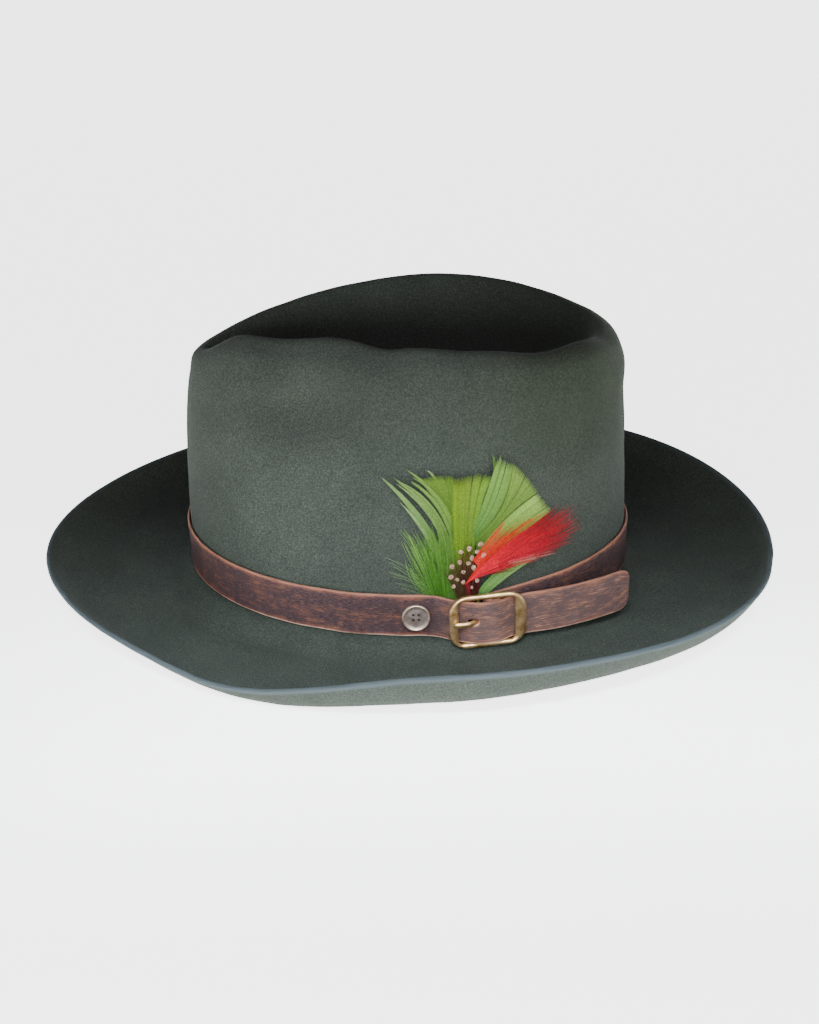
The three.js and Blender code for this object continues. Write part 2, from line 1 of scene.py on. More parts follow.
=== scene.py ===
"""A felt hat with a creased crown, a curled brim, a buckled leather band and a spray of feathers.

Sizes are in millimetres and become metres where a mesh is made. Z is up, -X is the front of the hat,
and -Y is the wearer's left side, where the buckle and the feathers are.
"""

import math

import bmesh
import bpy
import numpy as np
from mathutils import Matrix, Vector, noise


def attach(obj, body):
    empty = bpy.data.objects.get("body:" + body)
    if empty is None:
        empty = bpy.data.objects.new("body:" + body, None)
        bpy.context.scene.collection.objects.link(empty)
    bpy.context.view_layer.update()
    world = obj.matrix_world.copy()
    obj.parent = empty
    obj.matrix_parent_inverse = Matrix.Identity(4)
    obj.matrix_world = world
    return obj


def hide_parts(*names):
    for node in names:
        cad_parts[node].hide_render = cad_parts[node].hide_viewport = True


MM = 0.001
SEED = 7

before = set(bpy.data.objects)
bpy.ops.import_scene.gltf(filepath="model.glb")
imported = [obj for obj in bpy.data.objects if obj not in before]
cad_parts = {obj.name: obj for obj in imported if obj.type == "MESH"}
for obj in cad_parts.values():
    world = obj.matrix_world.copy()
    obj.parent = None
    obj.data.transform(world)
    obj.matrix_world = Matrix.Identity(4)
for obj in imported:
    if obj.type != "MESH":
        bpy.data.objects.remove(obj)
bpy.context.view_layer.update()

# Felt: rings from the floor of the crease, over the crest, down the wall and out to the edge of the brim.
# front, back and side are a ring's reaches, and taper draws it in towards the front.
# Heights are from the break, at five stations from the front to the back. dip and lift are its shares of the
# brim's dips and the crest's lifts.

FELT_WALL = 2.2
BREAK_HEIGHT = 12
FELT_ROW = 2.8
FELT_COLUMNS = 280

LEVEL_COLUMNS = (
    "front", "back", "side", "taper", "at_front", "at_front_quarter", "at_side", "at_back_quarter", "at_back",
    "dip", "lift",
)
LEVELS = {
    "crease floor": (44, 30, 5, 0.3, 91, 91, 91, 89, 87, 0, 0),
    "crease foot": (62, 47, 16, 0.4, 93, 94, 96, 92, 88, 0, 0),
    "crease wall": (77, 65, 28, 0.5, 98, 102, 108, 103, 98, 0, 0.4),
    "crest inside": (88, 81, 37.5, 0.53, 104, 113, 122, 116.2, 111, 0, 0.9),
    "crest": (95.5, 89.5, 42.5, 0.54, 106.5, 117.3, 126, 120.2, 117, 0, 1),
    "crest outside": (100.5, 96.5, 49, 0.43, 104, 114, 122, 117.2, 113.5, 0, 0.9),
    "shoulder": (102.7, 101.2, 59.5, 0.22, 95, 104, 109, 107, 104.5, 0, 0.5),
    "upper wall": (104.2, 101.4, 69, 0.08, 80, 86, 89, 89, 88, 0, 0.1),
    "middle wall": (105.3, 102.8, 77, 0.02, 56, 58, 60, 60, 60, 0, 0),
    "band head": (104.7, 104, 83.4, 0, 22, 22, 22, 22, 22, 0, 0),
    "band foot": (103.4, 104, 84.3, 0, 1, 1, 1, 1, 1, 0, 0),
    "break": (103.9, 104.6, 85.2, 0, -3.4, -3.4, -3.4, -3.4, -3.4, 0, 0),
    "root": (109, 109.6, 90.4, 0, -7.2, -7.8, -8, -7.4, -7.2, 0, 0),
    "inner brim": (128, 127, 107, 0.01, -7.5, -9, -9, -8, -9, 0.05, 0),
    "valley": (150, 149, 127.5, 0.035, -6, -8.5, -7.3, -5.5, -10.5, 0.2, 0),
    "curl": (165.5, 167, 139.5, 0.06, -2, -4, -0.8, 0.4, -5, 0.55, 0),
    "edge": (174, 174.4, 146.5, 0.08, 2.8, 3.6, 14, 11.5, 7.4, 1, 0),
}
LEVEL_NAMES = list(LEVELS)
RINGS = {name: np.array([row[k] for row in LEVELS.values()], float) for k, name in enumerate(LEVEL_COLUMNS)}
STATIONS = ("at_back", "at_back_quarter", "at_side", "at_front_quarter", "at_front")

# The pinch is a shallow hollow in each side of the wall, towards the front.
PINCH = {"x": -48, "height": 97, "slope": 0.1, "length": 26, "width": 13, "depth": 7}

# Where the brim dips and where the crest lifts: degrees round from the back by way of the right side, spread
# in degrees, and millimetres.
BRIM_DIPS = (
    (244.5, 17.5, 10.5), (72, 28, 6.5), (308, 20, -1.8), (346, 9, 1.8), (196, 14, -0.8), (143, 14, -0.9),
)
CREST_LIFTS = (
    (216, 14, 4.5), (250, 7, 1), (265, 7, -3), (300, 12, 1.5), (330, 15, 4), (36, 18, -2), (112, 22, -1.2),
)
# Hand blocking leaves slow swells in the felt: their width, their height, and where each noise starts.
SWELLS = ((34, 0.5, (0, 0, 0)), (13, 0.2, (9, 2, 5)))
# The brim's cut edge is a little rounded: shares of the way down it, and how far each stands out.
CUT_EDGE = ((0.1, 0.22), (0.32, 0.4), (0.5, 0.45), (0.68, 0.4), (0.9, 0.22))
# Painted shade on the back of the crown's top: from where to where it gets darker, along the hat and upwards.
TOP_SHADE_SPAN = {"back": (5, 85), "top": (60, 115)}

# Leather band. along is from the buckle's centre bar towards the back, off is from the felt, drop is down.
BAND_WIDTH = 20.8
BAND_THICKNESS = 1.4
BAND_FOOT = -0.1
BAND_GAP = 0.45
BAND_MIDDLE = BAND_FOOT + BAND_WIDTH / 2
TAIL_CORNER = 5
BUCKLE_X = 36
BACK_RISE = {"along": 66, "spread": 36, "height": 1.5}
EDGE_WANDER = {"length": 14, "height": 0.22}
FOLD = (
    (4.5, 5.6, 2.7), (3, 6.1, 2.7), (0, 6.4, 2.7), (-1.8, 5.7, 2.7), (-2.5, 3.9, 2.6),
    (-1.8, 2.1, 2.4), (0, 1.4, 2.1), (7, 1.2, 1), (14, 1.15, 0.3), (20, 1.15, 0),
)
OVERLAP = (
    (-44, 1.15, 0), (-36, 1.15, 0), (-31, 1.2, 0), (-26, 1.6, 0.3), (-23, 2.2, 0.6), (-20, 2.6, 1.4),
    (-17, 2.9, 2.3), (-13.5, 3.7, 2.9), (-9, 6, 2.9), (-5, 7.8, 2.8), (-1, 8.2, 2.8), (3, 8, 2.8),
    (6, 6.8, 2.8), (9, 5.5, 2.8), (12, 5, 2.8), (18, 5.4, 3), (27, 7, 3.1), (36, 8.9, 3.1),
    (46, 11.4, 3), (56, 14.4, 2.6), (64.5, 17.4, 2.2),
)
# The slot in the fold, for the prong's eye, and the hole that the prong goes through.
FOLD_SLOT = {"along": -0.2, "off": 3.6, "length": 7.6, "rise": 3.2, "depth": 6.6}
PRONG_HOLE = {"along": -8.3, "off": 6.4, "length": 5.2, "rise": 2.9, "depth": 3.8}

# How worn the leather is: the pale patch round the prong's hole, and where the wear at the tail fades out, in
# band widths.
HOLE_WEAR = (0.14, 0.1)
TAIL_WEAR = (3.2, 4.6)

# Buckle and button
FRAME = {"width": 36, "height": 26.4, "corner": 8.5, "thickness": 2.4, "drop": 3, "shift": -1.6}
FRAME_RAIL = {"left": 4.2, "right": 5.2, "top": 2.3, "bottom": 2.3, "inner_corner": 1.8}
FRAME_OFF = {"left": 4.6, "right": 7.6}
CENTRE_BAR = {"width": 2, "thickness": 2, "off": 4.4}
PRONG = {"radius": 1, "tall": 1.3, "eye_wall": 0.9, "clearance": 0.3, "width": 2.2, "drop": 2.8}
PRONG_TIP = (0.97, 0.88, 0.68, 0.3)
PRONG_SHANK = ((-1.2, 5.3), (-4.5, 5.3), (-7, 5.7), (-9, 7), (-11, 7.9), (-14, 8), (-18, 7.1))
BUTTON = {
    "x": 3.2, "radius": 6.5, "thickness": 1.8, "rim": 1.1, "dish": 0.7, "hole": 0.65, "pitch": 2.5,
    "rise": -0.3,
}
# Tones of the rim and the dish, and how far the walls of the holes are darkened as painted shade.
BUTTON_TONES = {"rim": "#c4b29c", "dish": "#b4a69c", "painted_hole_shade": 0.2}
BUTTON_STANDS = BAND_GAP + BAND_THICKNESS + 1

# Feathers. Each vane is a sheet of barbs between three lines on the wall, given as along and up: where the
# barbs start, their middles, and the edge where they end. off is how far they stand from the felt on the way.
# Clumps are barbs that keep together, gather is how far they close up towards the tip, and ragged is how
# unequal their lengths are. tones give a root and a tip colour at shares across the vane. also holds what
# differs from USUAL: how fine the barbs are, how far they stray and curl, how mixed their tones are, how dark
# the painted shade in the partings between clumps is, and how blunt the barbs' tips are.

VANE_COLUMNS = ("starts", "middles", "ends", "off", "barbs", "clumps", "gather", "ragged", "tones", "also")
USUAL = {"fine": 1, "stray": 0.004, "curl": 0, "mixed": 0.04, "shadow": 0.35, "blunt": 9}
LEAST = {"reach": 0.35, "half_width": 0.07}
# Half a barb's width as a share of its spacing, so that neighbours overlap.
OVERLAPPING = 0.66

FAN_VANES = {
    "blade behind the left tuft": (
        ((-15, 28), (-13.5, 28)), ((-17.8, 58), (-14.2, 54)), ((-30.4, 75.4), (-23, 76.7), (-15.4, 76.4)),
        (1.3, 1.9, 2.7), 56, 4, 0.03, 0.006, ((0, "#42681a", "#62842e"), (1, "#466a18", "#628628")),
        {"shadow": 0.12},
    ),
    "leaf right of the middle": (
        ((-8.5, 14), (-6, 14)), ((-10.8, 45), (-5, 50)), ((-9.6, 76.2), (-4, 77.5), (3.2, 75)),
        (1.5, 2.2, 3), 46, 3, 0.1, 0.012,
        ((0, "#547a18", "#78962e"), (0.6, "#50761a", "#74982c"), (1, "#4a7820", "#6a9430")), {},
    ),
    "right side, lowest of three": (
        ((-5, 40), (-4.5, 30)), ((10, 54.6), (10.5, 42.5)), ((25.2, 63.4), (32.2, 53.4)),
        (1.6, 2.3, 2.9), 44, 3, 0.06, 0.012, ((0, "#6c9a30", "#98c256"), (1, "#78a232", "#a0c65a")),
        {"shadow": 0.2},
    ),
    "right side, middle": (
        ((-6, 47), (-5, 40)), ((6.4, 59.2), (10, 55.4)), ((12.4, 80.2), (17.7, 74), (25.3, 64)),
        (1.9, 2.6, 3.3), 56, 3, 0.04, 0.01, ((0, "#557e28", "#7a9e3e"), (1, "#577e24", "#7ca042")),
        {"shadow": 0.2},
    ),
    "right side, highest": (
        ((-7, 50), (-6, 46.6)), ((-2, 63), (6, 59.6)), ((4.8, 82.6), (8, 82.4), (12.6, 79.8)),
        (2.2, 2.9, 3.6), 44, 3, 0.08, 0.012,
        ((0, "#528430", "#7aa446"), (0.6, "#588a36", "#80aa4c"), (1, "#4e782a", "#729a3c")), {},
    ),
    "panel in the middle, in front": (
        ((-11, 14), (-7.5, 14)), ((-15.6, 45), (-10.6, 45)), ((-15.7, 75.2), (-9.2, 75.8)),
        (1.9, 2.7, 3.4), 32, 3, 0.02, 0.005,
        ((0, "#466c12", "#668620"), (0.15, "#527812", "#729220"), (1, "#567c14", "#769624")),
        {"shadow": 0.18},
    ),
    "leaf under the red feather": (
        ((-7, 15.5), (-5.5, 13.5)), ((4.5, 29.4), (7.8, 24.6)), ((24.6, 35), (26, 33.6)),
        (1.2, 1.7, 2.4), 20, 3, 0.1, 0.05, ((0, "#52883a", "#8cb464"), (1, "#5c923e", "#98be6c")), {},
    ),
    "ribbons that end in points at the left": (
        ((-17, 14), (-12.5, 14)), ((-22.5, 50), (-16.5, 55)), ((-44, 75), (-40, 73.6), (-34, 77)),
        (1.3, 2.2, 3.3), 44, 5, 0.8, 0.05, ((0, "#457222", "#86aa5c"), (1, "#4a761e", "#7a9e46")), {},
    ),
    "their foot, over the hackle's": (
        ((-20, 14), (-12, 14)), ((-22, 34), (-15, 36)), ((-31, 56), (-23, 57), (-15.6, 54)),
        (1.1, 1.9, 2.6), 40, 6, 0.6, 0.12, ((0, "#3f701e", "#6e9a40"), (1, "#44721c", "#6a9434")), {},
    ),
}
# Single narrow blades: start, middle and end, width, and root and tip colour.
FAN_SPIKES = (
    ((-17, 13), (-26.5, 50), (-49, 77.4), 3.9, "#447224", "#88aa62"),
    ((-16, 13), (-20.4, 51), (-45.4, 78.4), 3.6, "#48761e", "#82a656"),
    ((-17, 13), (-25, 44), (-41, 67), 2.2, "#42722a", "#8eae6a"),
    ((-13, 13), (-17.4, 56), (-39.4, 81.6), 3.2, "#4c761e", "#7ca04a"),
    ((-12.5, 13), (-16.4, 54.5), (-33.4, 76.4), 3, "#4c761e", "#7c9e44"),
    ((-19, 64), (-23, 74.5), (-27.4, 79.4), 1.4, "#5c7e2c", "#82a05c"),
    ((0, 58), (3.9, 72), (2.5, 85.4), 2.1, "#38581e", "#4e7430"),
    ((1, 60), (5.2, 73), (6.2, 84.8), 1.8, "#4c7430", "#6a9046"),
)
HACKLE_VANES = {
    "long wisps": (
        ((-25, 15), (-18, 15)), ((-33.4, 36), (-27, 40), (-18, 40)),
        ((-39, 49), (-39.4, 58), (-33, 56), (-27, 60), (-22, 57), (-16.5, 58)),
        (0.9, 3.2, 4.6), 230, 23, 0.6, 0.3,
        ((0, "#3c7220", "#86b254"), (0.5, "#3a701a", "#6ca038"), (1, "#40761e", "#78a844")),
        {"fine": 0.23, "stray": 0.09, "curl": 1.3, "mixed": 0.24},
    ),
    "lower wisps": (
        ((-27, 15), (-22, 15)), ((-33, 30), (-28, 25)), ((-39, 45), (-38, 36), (-32, 25)),
        (0.9, 2.2, 3), 52, 9, 0.5, 0.3, ((0, "#3c7220", "#86b254"), (1, "#3e7420", "#8cb666")),
        {"fine": 0.24, "stray": 0.09, "curl": 1.3, "mixed": 0.24},
    ),
    "lone wisps at the front": (
        ((-27, 22), (-24, 17)), ((-35, 34), (-34, 23)), ((-47, 41.4), (-47.6, 26)),
        (1, 2, 2.6), 16, 6, 0.3, 0.2, ((0, "#4c7a34", "#7c9a68"), (1, "#4c7a34", "#7c9a68")),
        {"fine": 0.07, "stray": 0.06, "curl": 0.8},
    ),
}
SPOTTED_VANES = {
    "barbs": (
        ((-13, 13), (-5.5, 13)), ((-18, 28), (-11, 32), (-3.5, 28)),
        ((-21, 33), (-18, 42), (-10, 47), (-3, 47.5), (0.5, 40), (0, 28)),
        (2, 3.2, 4.1), 150, 16, 0.4, 0.16,
        (
            (0, "#33281c", "#6c6236"), (0.3, "#2a1012", "#5c4428"), (0.6, "#380c14", "#5e1a20"),
            (1, "#400c16", "#6c1620"),
        ),
        {"fine": 0.62, "stray": 0.05, "blunt": 3},
    ),
    "wisps over the spots": (
        ((-12, 13), (-6, 13)), ((-16, 27), (-10, 31), (-4, 27)),
        ((-20, 35), (-16, 44), (-8, 48), (-2, 45), (-1, 34)),
        (3.2, 4.4, 5.2), 36, 8, 0.3, 0.2, ((0, "#3a2418", "#7c6a3c"), (1, "#3c1018", "#5a1c24")),
        {"fine": 0.16, "stray": 0.08},
    ),
}
SPOTS = (
    (-13.3, 36.9), (-7.9, 38.4), (-2.6, 39), (-3.9, 44.4), (-9, 43), (-7.2, 33.8), (-11.9, 32.2),
    (-17.3, 30.2), (-12, 27.2), (-5.8, 27.4), (-8.2, 24.3), (-16.2, 25.5), (-16.8, 35), (-12.9, 41.6),
    (-3.6, 34), (-14.6, 28.6), (-9.6, 36), (-5.6, 41.4),
)
SPOT = {"radius": 1.1, "off": 4.3, "least": (0.65, 0.75, 0.3), "most": (1.2, 1.3, 0.42)}
SPOT_DENTS = {"per_mm": 0.85, "depth": 1.6}
RED_VANES = {
    "quill": (
        ((-9, 13), (-7.6, 13)), ((-9.8, 20), (-8.6, 20)), ((-11, 27), (-9.8, 27.4)),
        (3.3, 3.7, 4.9), 5, 1, 0, 0.01, ((0, "#34121a", "#8c1c28"), (1, "#34121a", "#8c1c28")), {},
    ),
    "wisps over the green": (
        ((-7.5, 37), (-5, 34)), ((0, 47), (3.5, 42)), ((6, 54), (13, 59.5), (17, 54)),
        (4.3, 4.6, 4.9), 64, 9, 0.4, 0.24, ((0, "#f2201c", "#c85a30"), (1, "#f2201e", "#d04c2c")),
        {"fine": 0.42, "stray": 0.06, "curl": 0.5, "mixed": 0.15},
    ),
    "thin outer fringe": (
        ((4, 37), (4, 32)), ((20, 50), (27, 42.5), (20, 35.5)),
        ((36, 58.4), (42.5, 59), (49.5, 55.4), (52, 47), (48, 40), (42, 36)),
        (5, 5.4, 6.2), 150, 34, 0.4, 0.16, ((0, "#b80c1c", "#9c0c1a"), (1, "#c8182a", "#a01c2a")),
        {"fine": 0.24, "stray": 0.05, "curl": 0.8, "mixed": 0.3},
    ),
    "barbs": (
        ((-11.4, 26), (-9.4, 27.8)), ((9, 48.4), (10.5, 41.5), (11, 36.8), (9.5, 32.4)),
        ((29.6, 55.4), (38, 57.6), (46.8, 53.6), (48.8, 46), (45, 39.4), (39.5, 35.8), (34, 33)),
        (4.9, 5.1, 6.3), 220, 23, 0.6, 0.23,
        (
            (0, "#d82c10", "#d8500a"), (0.16, "#e0200e", "#d23a08"), (0.26, "#f40e26", "#a8061a"),
            (0.5, "#ff1834", "#cc0c20"), (0.85, "#ff1a36", "#c01a2c"), (1, "#d4182c", "#b84a46"),
        ),
        {"fine": 0.48, "stray": 0.03, "curl": 0.5, "shadow": 0.5, "mixed": 0.12},
    ),
    "pale strands": (
        ((8, 35), (9, 33.8)), ((21, 35.8), (20.5, 33.6)), ((38, 35.6), (32.6, 32)),
        (5.2, 5.4, 5.8), 9, 4, 0.3, 0.14, ((0, "#dc4450", "#e0a898"), (1, "#e06464", "#e6c4b4")),
        {"fine": 0.18, "stray": 0.05},
    ),
    "dark wisps below": (
        ((-1, 31.6), (0.5, 29.6)), ((9, 33), (8, 29.6)), ((21, 33.6), (16, 28.8)),
        (4.8, 4.6, 4.4), 16, 4, 0.3, 0.2, ((0, "#a01422", "#54241a"), (1, "#841a20", "#44281c")),
        {"fine": 0.26, "stray": 0.05},
    ),
}

# The felt's surface


def level_of(name):
    return LEVEL_NAMES.index(name)


def once_round(count):
    return np.linspace(0, 2 * np.pi, count, endpoint=False)


def bump(distance, spread):
    return np.exp(-((distance / spread) ** 2))


def smooth_step(value, low, high):
    t = np.clip((value - low) / (high - low), 0, 1)
    return t * t * (3 - 2 * t)


def hermite(t, start, start_slope, end, end_slope):
    point = start * (2 * t**3 - 3 * t**2 + 1) + start_slope * (t**3 - 2 * t**2 + t)
    return point + end * (3 * t**2 - 2 * t**3) + end_slope * (t**3 - t**2)


def lengths_along(points):
    """How far each point of a line is from its start."""
    return np.concatenate([[0], np.cumsum(np.linalg.norm(np.diff(points, axis=0), axis=1))])


def at_lengths(points, lengths):
    """Points at these lengths along a line."""
    walked = lengths_along(points)
    return np.stack([np.interp(lengths, walked, points[:, k]) for k in range(points.shape[1])], axis=-1)


def height_waves():
    """For each ring, the size of each wave round it that takes its height through the five stations."""
    last = len(STATIONS) - 1
    half_at_ends = np.array([0.5] + [1] * (last - 1) + [0.5])
    k = np.arange(last + 1)
    waves = np.cos(np.pi * np.outer(k, k) / last)
    heights = np.stack([RINGS[name] for name in STATIONS], axis=1)
    return (heights * half_at_ends) @ waves * (2 / last) * half_at_ends


HEIGHT_WAVES = height_waves()


def meridians(angle):
    """Points of every ring at these angles, the chords between them, and the slope at each."""
    centre = (RINGS["back"] - RINGS["front"])[:, None] / 2
    reach = (RINGS["back"] + RINGS["front"])[:, None] / 2
    x = centre + reach * np.cos(angle)
    y = RINGS["side"][:, None] * np.sin(angle) * (1 + RINGS["taper"][:, None] * np.cos(angle))
    z = HEIGHT_WAVES @ np.cos(np.outer(np.arange(len(STATIONS)), angle))
    points = np.stack([x, y, z], axis=-1)
    chords = np.linalg.norm(np.diff(points, axis=0), axis=-1)[..., None]
    steps = np.diff(points, axis=0) / chords
    middle = (steps[:-1] * chords[1:] + steps[1:] * chords[:-1]) / (chords[:-1] + chords[1:])
    return points, chords, np.concatenate([steps[:1], middle, steps[-1:]])


def felt_on(lines, angle, level):
    """Points of the felt at these levels of the meridian lines that go with these angles."""
    points, chords, slopes = lines
    i = np.clip(np.floor(level).astype(int), 0, len(LEVEL_NAMES) - 2)
    t = (level - i)[:, None]
    n = np.arange(len(angle))
    chord = chords[i, n]
    point = hermite(t, points[i, n], slopes[i, n] * chord, points[i + 1, n], slopes[i + 1, n] * chord)

    ridge = PINCH["height"] + PINCH["slope"] * (point[:, 0] - PINCH["x"])
    pinch = bump(point[:, 0] - PINCH["x"], PINCH["length"]) * bump(point[:, 2] - ridge, PINCH["width"])
    on_wall = smooth_step(level, level_of("crest"), level_of("shoulder"))
    towards_middle = np.clip(point[:, 1] / 20, -1, 1)
    point[:, 1] -= PINCH["depth"] * pinch * on_wall * towards_middle

    for column, sign, places in (("dip", -1, BRIM_DIPS), ("lift", 1, CREST_LIFTS)):
        share = RINGS[column][i] + (RINGS[column][i + 1] - RINGS[column][i]) * smooth_step(t[:, 0], 0, 1)
        for middle, spread, height in places:
            away = (np.degrees(angle) - middle + 180) % 360 - 180
            point[:, 2] += sign * height * share * bump(away, spread)
    point[:, 2] = np.maximum(point[:, 2] + BREAK_HEIGHT, FELT_WALL)
    return point


def felt_point(angle, level):
    return felt_on(meridians(angle), angle, level)


def felt_normal(angle, level):
    nudge = 0.01
    last = len(LEVEL_NAMES) - 1
    across = felt_point(angle + nudge, level) - felt_point(angle - nudge, level)
    ahead = felt_point(angle, np.minimum(level + nudge, last))
    ahead -= felt_point(angle, np.maximum(level - nudge, 0))
    normal = np.cross(ahead, across)
    return normal / np.linalg.norm(normal, axis=1)[:, None]


# Places on the crown's wall


def wall_point(angle, height):
    """Points of the wall at heights above the break, found by halving the span between two rings."""
    lines = meridians(angle)
    above = np.full(len(angle), float(level_of("crest outside")))
    below = np.full(len(angle), float(level_of("root")))
    for _ in range(18):
        middle = (above + below) / 2
        higher = felt_on(lines, angle, middle)[:, 2] > BREAK_HEIGHT + height
        above = np.where(higher, middle, above)
        below = np.where(higher, below, middle)
    return felt_on(lines, angle, above)


def walk_round():
    """Angles round the crown, and how far each is along the band from the buckle's centre bar."""
    ring = level_of("band head")
    front, back = RINGS["front"][ring], RINGS["back"][ring]
    start = 2 * np.pi - np.arccos((BUCKLE_X - (back - front) / 2) / ((front + back) / 2))
    angles = start + np.linspace(0, 2 * np.pi, 721)
    points = wall_point(angles, np.full(len(angles), BAND_MIDDLE))
    return angles, lengths_along(points), points


WALK_ANGLES, WALK_ALONG, WALK_POINTS = walk_round()
LAP = WALK_ALONG[-1]


def wall_angle(along):
    turns = np.floor(along / LAP)
    return np.interp(along - turns * LAP, WALK_ALONG, WALK_ANGLES) + turns * 2 * np.pi


def wall_out(along):
    angle = wall_angle(along)
    height = np.full(len(angle), BAND_MIDDLE)
    ahead = wall_point(angle + 0.02, height) - wall_point(angle - 0.02, height)
    out = np.stack([ahead[:, 1], -ahead[:, 0], np.zeros(len(angle))], axis=1)
    return out / np.linalg.norm(out, axis=1)[:, None]


def on_wall(along, height, off):
    along, height, off = (np.asarray(v, float).ravel() for v in np.broadcast_arrays(along, height, off))
    return wall_point(wall_angle(along), height) + wall_out(along) * off[:, None]


def wall_place(along, height):
    """A matrix in millimetres: X runs along the wall, Z runs up it and -Y faces out of it."""
    foot, head, here = on_wall([along] * 3, [BAND_FOOT, BAND_FOOT + BAND_WIDTH, height], [0] * 3)
    up = Vector(head - foot).normalized()
    inward = -Vector(wall_out(np.array([along]))[0])
    right = inward.cross(up).normalized()
    turn = Matrix((right, up.cross(right), up)).transposed()
    return Matrix.Translation(Vector(here)) @ turn.to_4x4()


# Meshes


def grid_faces(rows, columns):
    """Quads between closed rings of points."""
    r, c = np.meshgrid(np.arange(rows - 1), np.arange(columns), indexing="ij")
    here, right = r * columns + c, r * columns + (c + 1) % columns
    return np.stack([here, right, right + columns, here + columns], axis=-1).reshape(-1, 4)


def mesh_object(name, points, faces, material, uv=None, closed=True):
    """An object of points in millimetres. uv is one pair for each point."""
    mesh = bpy.data.meshes.new(name)
    mesh.from_pydata((np.asarray(points) * MM).tolist(), [], [list(face) for face in faces])
    if uv is not None:
        corners = np.empty(len(mesh.loops), np.int32)
        mesh.loops.foreach_get("vertex_index", corners)
        mesh.uv_layers.new(name="lie").data.foreach_set("uv", np.asarray(uv, np.float32)[corners].ravel())
    mesh.polygons.foreach_set("use_smooth", [True] * len(mesh.polygons))
    mesh.materials.append(material)
    piece = shown(name, mesh)
    if closed:
        faces_outward(piece)
    return piece


def shown(name, data):
    """An object in the scene."""
    piece = bpy.data.objects.new(name, data)
    bpy.context.scene.collection.objects.link(piece)
    return piece


def mark(mesh, name, kind, values):
    """Gives every point of a mesh a value."""
    layers = mesh.color_attributes if kind == "FLOAT_COLOR" else mesh.attributes
    key = {"FLOAT_COLOR": "color", "FLOAT_VECTOR": "vector", "FLOAT": "value"}[kind]
    layers.new(name, kind, "POINT").data.foreach_set(key, np.ravel(values))


def faces_outward(piece):
    shell = bmesh.new()
    shell.from_mesh(piece.data)
    bmesh.ops.recalc_face_normals(shell, faces=shell.faces)
    shell.to_mesh(piece.data)
    shell.free()


def swept(rings, closed=False):
    """Points and faces of a tube through rings of points, capped unless its ends meet."""
    rows, columns = rings.shape[:2]
    if closed:
        return rings.reshape(-1, 3), (grid_faces(rows + 1, columns) % (rows * columns)).tolist()
    caps = [list(range(columns))[::-1], list(range((rows - 1) * columns, rows * columns))]
    return rings.reshape(-1, 3), grid_faces(rows, columns).tolist() + caps


def joined(first, second):
    """The points and faces of two tubes as one mesh."""
    (points, faces), (more_points, more_faces) = first, second
    more_faces = [[i + len(points) for i in face] for face in more_faces]
    return np.concatenate([points, more_points]), faces + more_faces


def plain_mesh(piece):
    """The mesh of an object with its modifiers applied."""
    return bpy.data.meshes.new_from_object(piece.evaluated_get(bpy.context.evaluated_depsgraph_get()))


def cut(piece, cutter):
    """Cuts one closed mesh out of another and drops the cutter."""
    modifier = piece.modifiers.new("cut", "BOOLEAN")
    modifier.operation = "DIFFERENCE"
    modifier.object = cutter
    result = plain_mesh(piece)
    piece.modifiers.clear()
    piece.data = result
    bpy.data.objects.remove(cutter)


def smooth_through(rows, spacing):
    """Points at equal spacing on a smooth curve through the rows."""
    rows = np.asarray(rows, float)
    ends = [2 * rows[0] - rows[1], *rows, 2 * rows[-1] - rows[-2]]
    t = np.linspace(0, 1, 24, endpoint=False)[:, None]
    curve = []
    for p0, p1, p2, p3 in zip(ends, ends[1:], ends[2:], ends[3:]):
        d0, d1, d2 = (math.sqrt(np.linalg.norm(b - a)) for a, b in ((p0, p1), (p1, p2), (p2, p3)))
        m1 = ((p1 - p0) / d0 - (p2 - p0) / (d0 + d1) + (p2 - p1) / d1) * d1
        m2 = ((p2 - p1) / d1 - (p3 - p1) / (d1 + d2) + (p3 - p2) / d2) * d1
        curve.append(hermite(t, p1, m1, p2, m2))
    curve = np.concatenate([*curve, rows[-1:]])
    whole = lengths_along(curve)[-1]
    return at_lengths(curve, np.linspace(0, whole, round(whole / spacing) + 1))


# Materials


def colour(code):
    """A linear colour from an sRGB hex code."""
    parts = [int(code[i : i + 2], 16) / 255 for i in (1, 3, 5)]
    return [p / 12.92 if p <= 0.04045 else ((p + 0.055) / 1.055) ** 2.4 for p in parts] + [1.0]


def add(tree, kind, inputs=(), stops=None, **settings):
    """Adds a node and gives its first live output.

    inputs are values or outputs, by name or in the order of the live sockets. stops are a ramp's.
    """
    node = tree.nodes.new(kind)
    for name, value in settings.items():
        setattr(node, name, value)
    for i, (position, code) in enumerate(stops or ()):
        ramp = node.color_ramp.elements
        element = ramp[i] if i < len(ramp) else ramp.new(1)
        element.position = position
        element.color = colour(code)
    if isinstance(inputs, dict):
        given = [(node.inputs[name], value) for name, value in inputs.items()]
    else:
        given = zip([socket for socket in node.inputs if socket.enabled], inputs)
    for socket, value in given:
        if isinstance(value, bpy.types.NodeSocket):
            tree.links.new(value, socket)
        else:
            socket.default_value = value
    return next((socket for socket in node.outputs if socket.enabled), None)


def made_of(name, look, *given):
    """A material whose shader has what the look says."""
    material = bpy.data.materials.new(name)
    material.use_nodes = True
    tree = material.node_tree
    tree.nodes.clear()
    surface = add(tree, "ShaderNodeBsdfPrincipled", look(tree, *given))
    add(tree, "ShaderNodeOutputMaterial", [surface])
    return material


def flecks(tree, size, detail, roughness):
    """Flecks of about this size in millimetres, fixed to the piece."""
    place = add(tree, "ShaderNodeTexCoord").node.outputs["Object"]
    return add(tree, "ShaderNodeTexNoise", [place, 1 / (size * MM), detail, roughness])


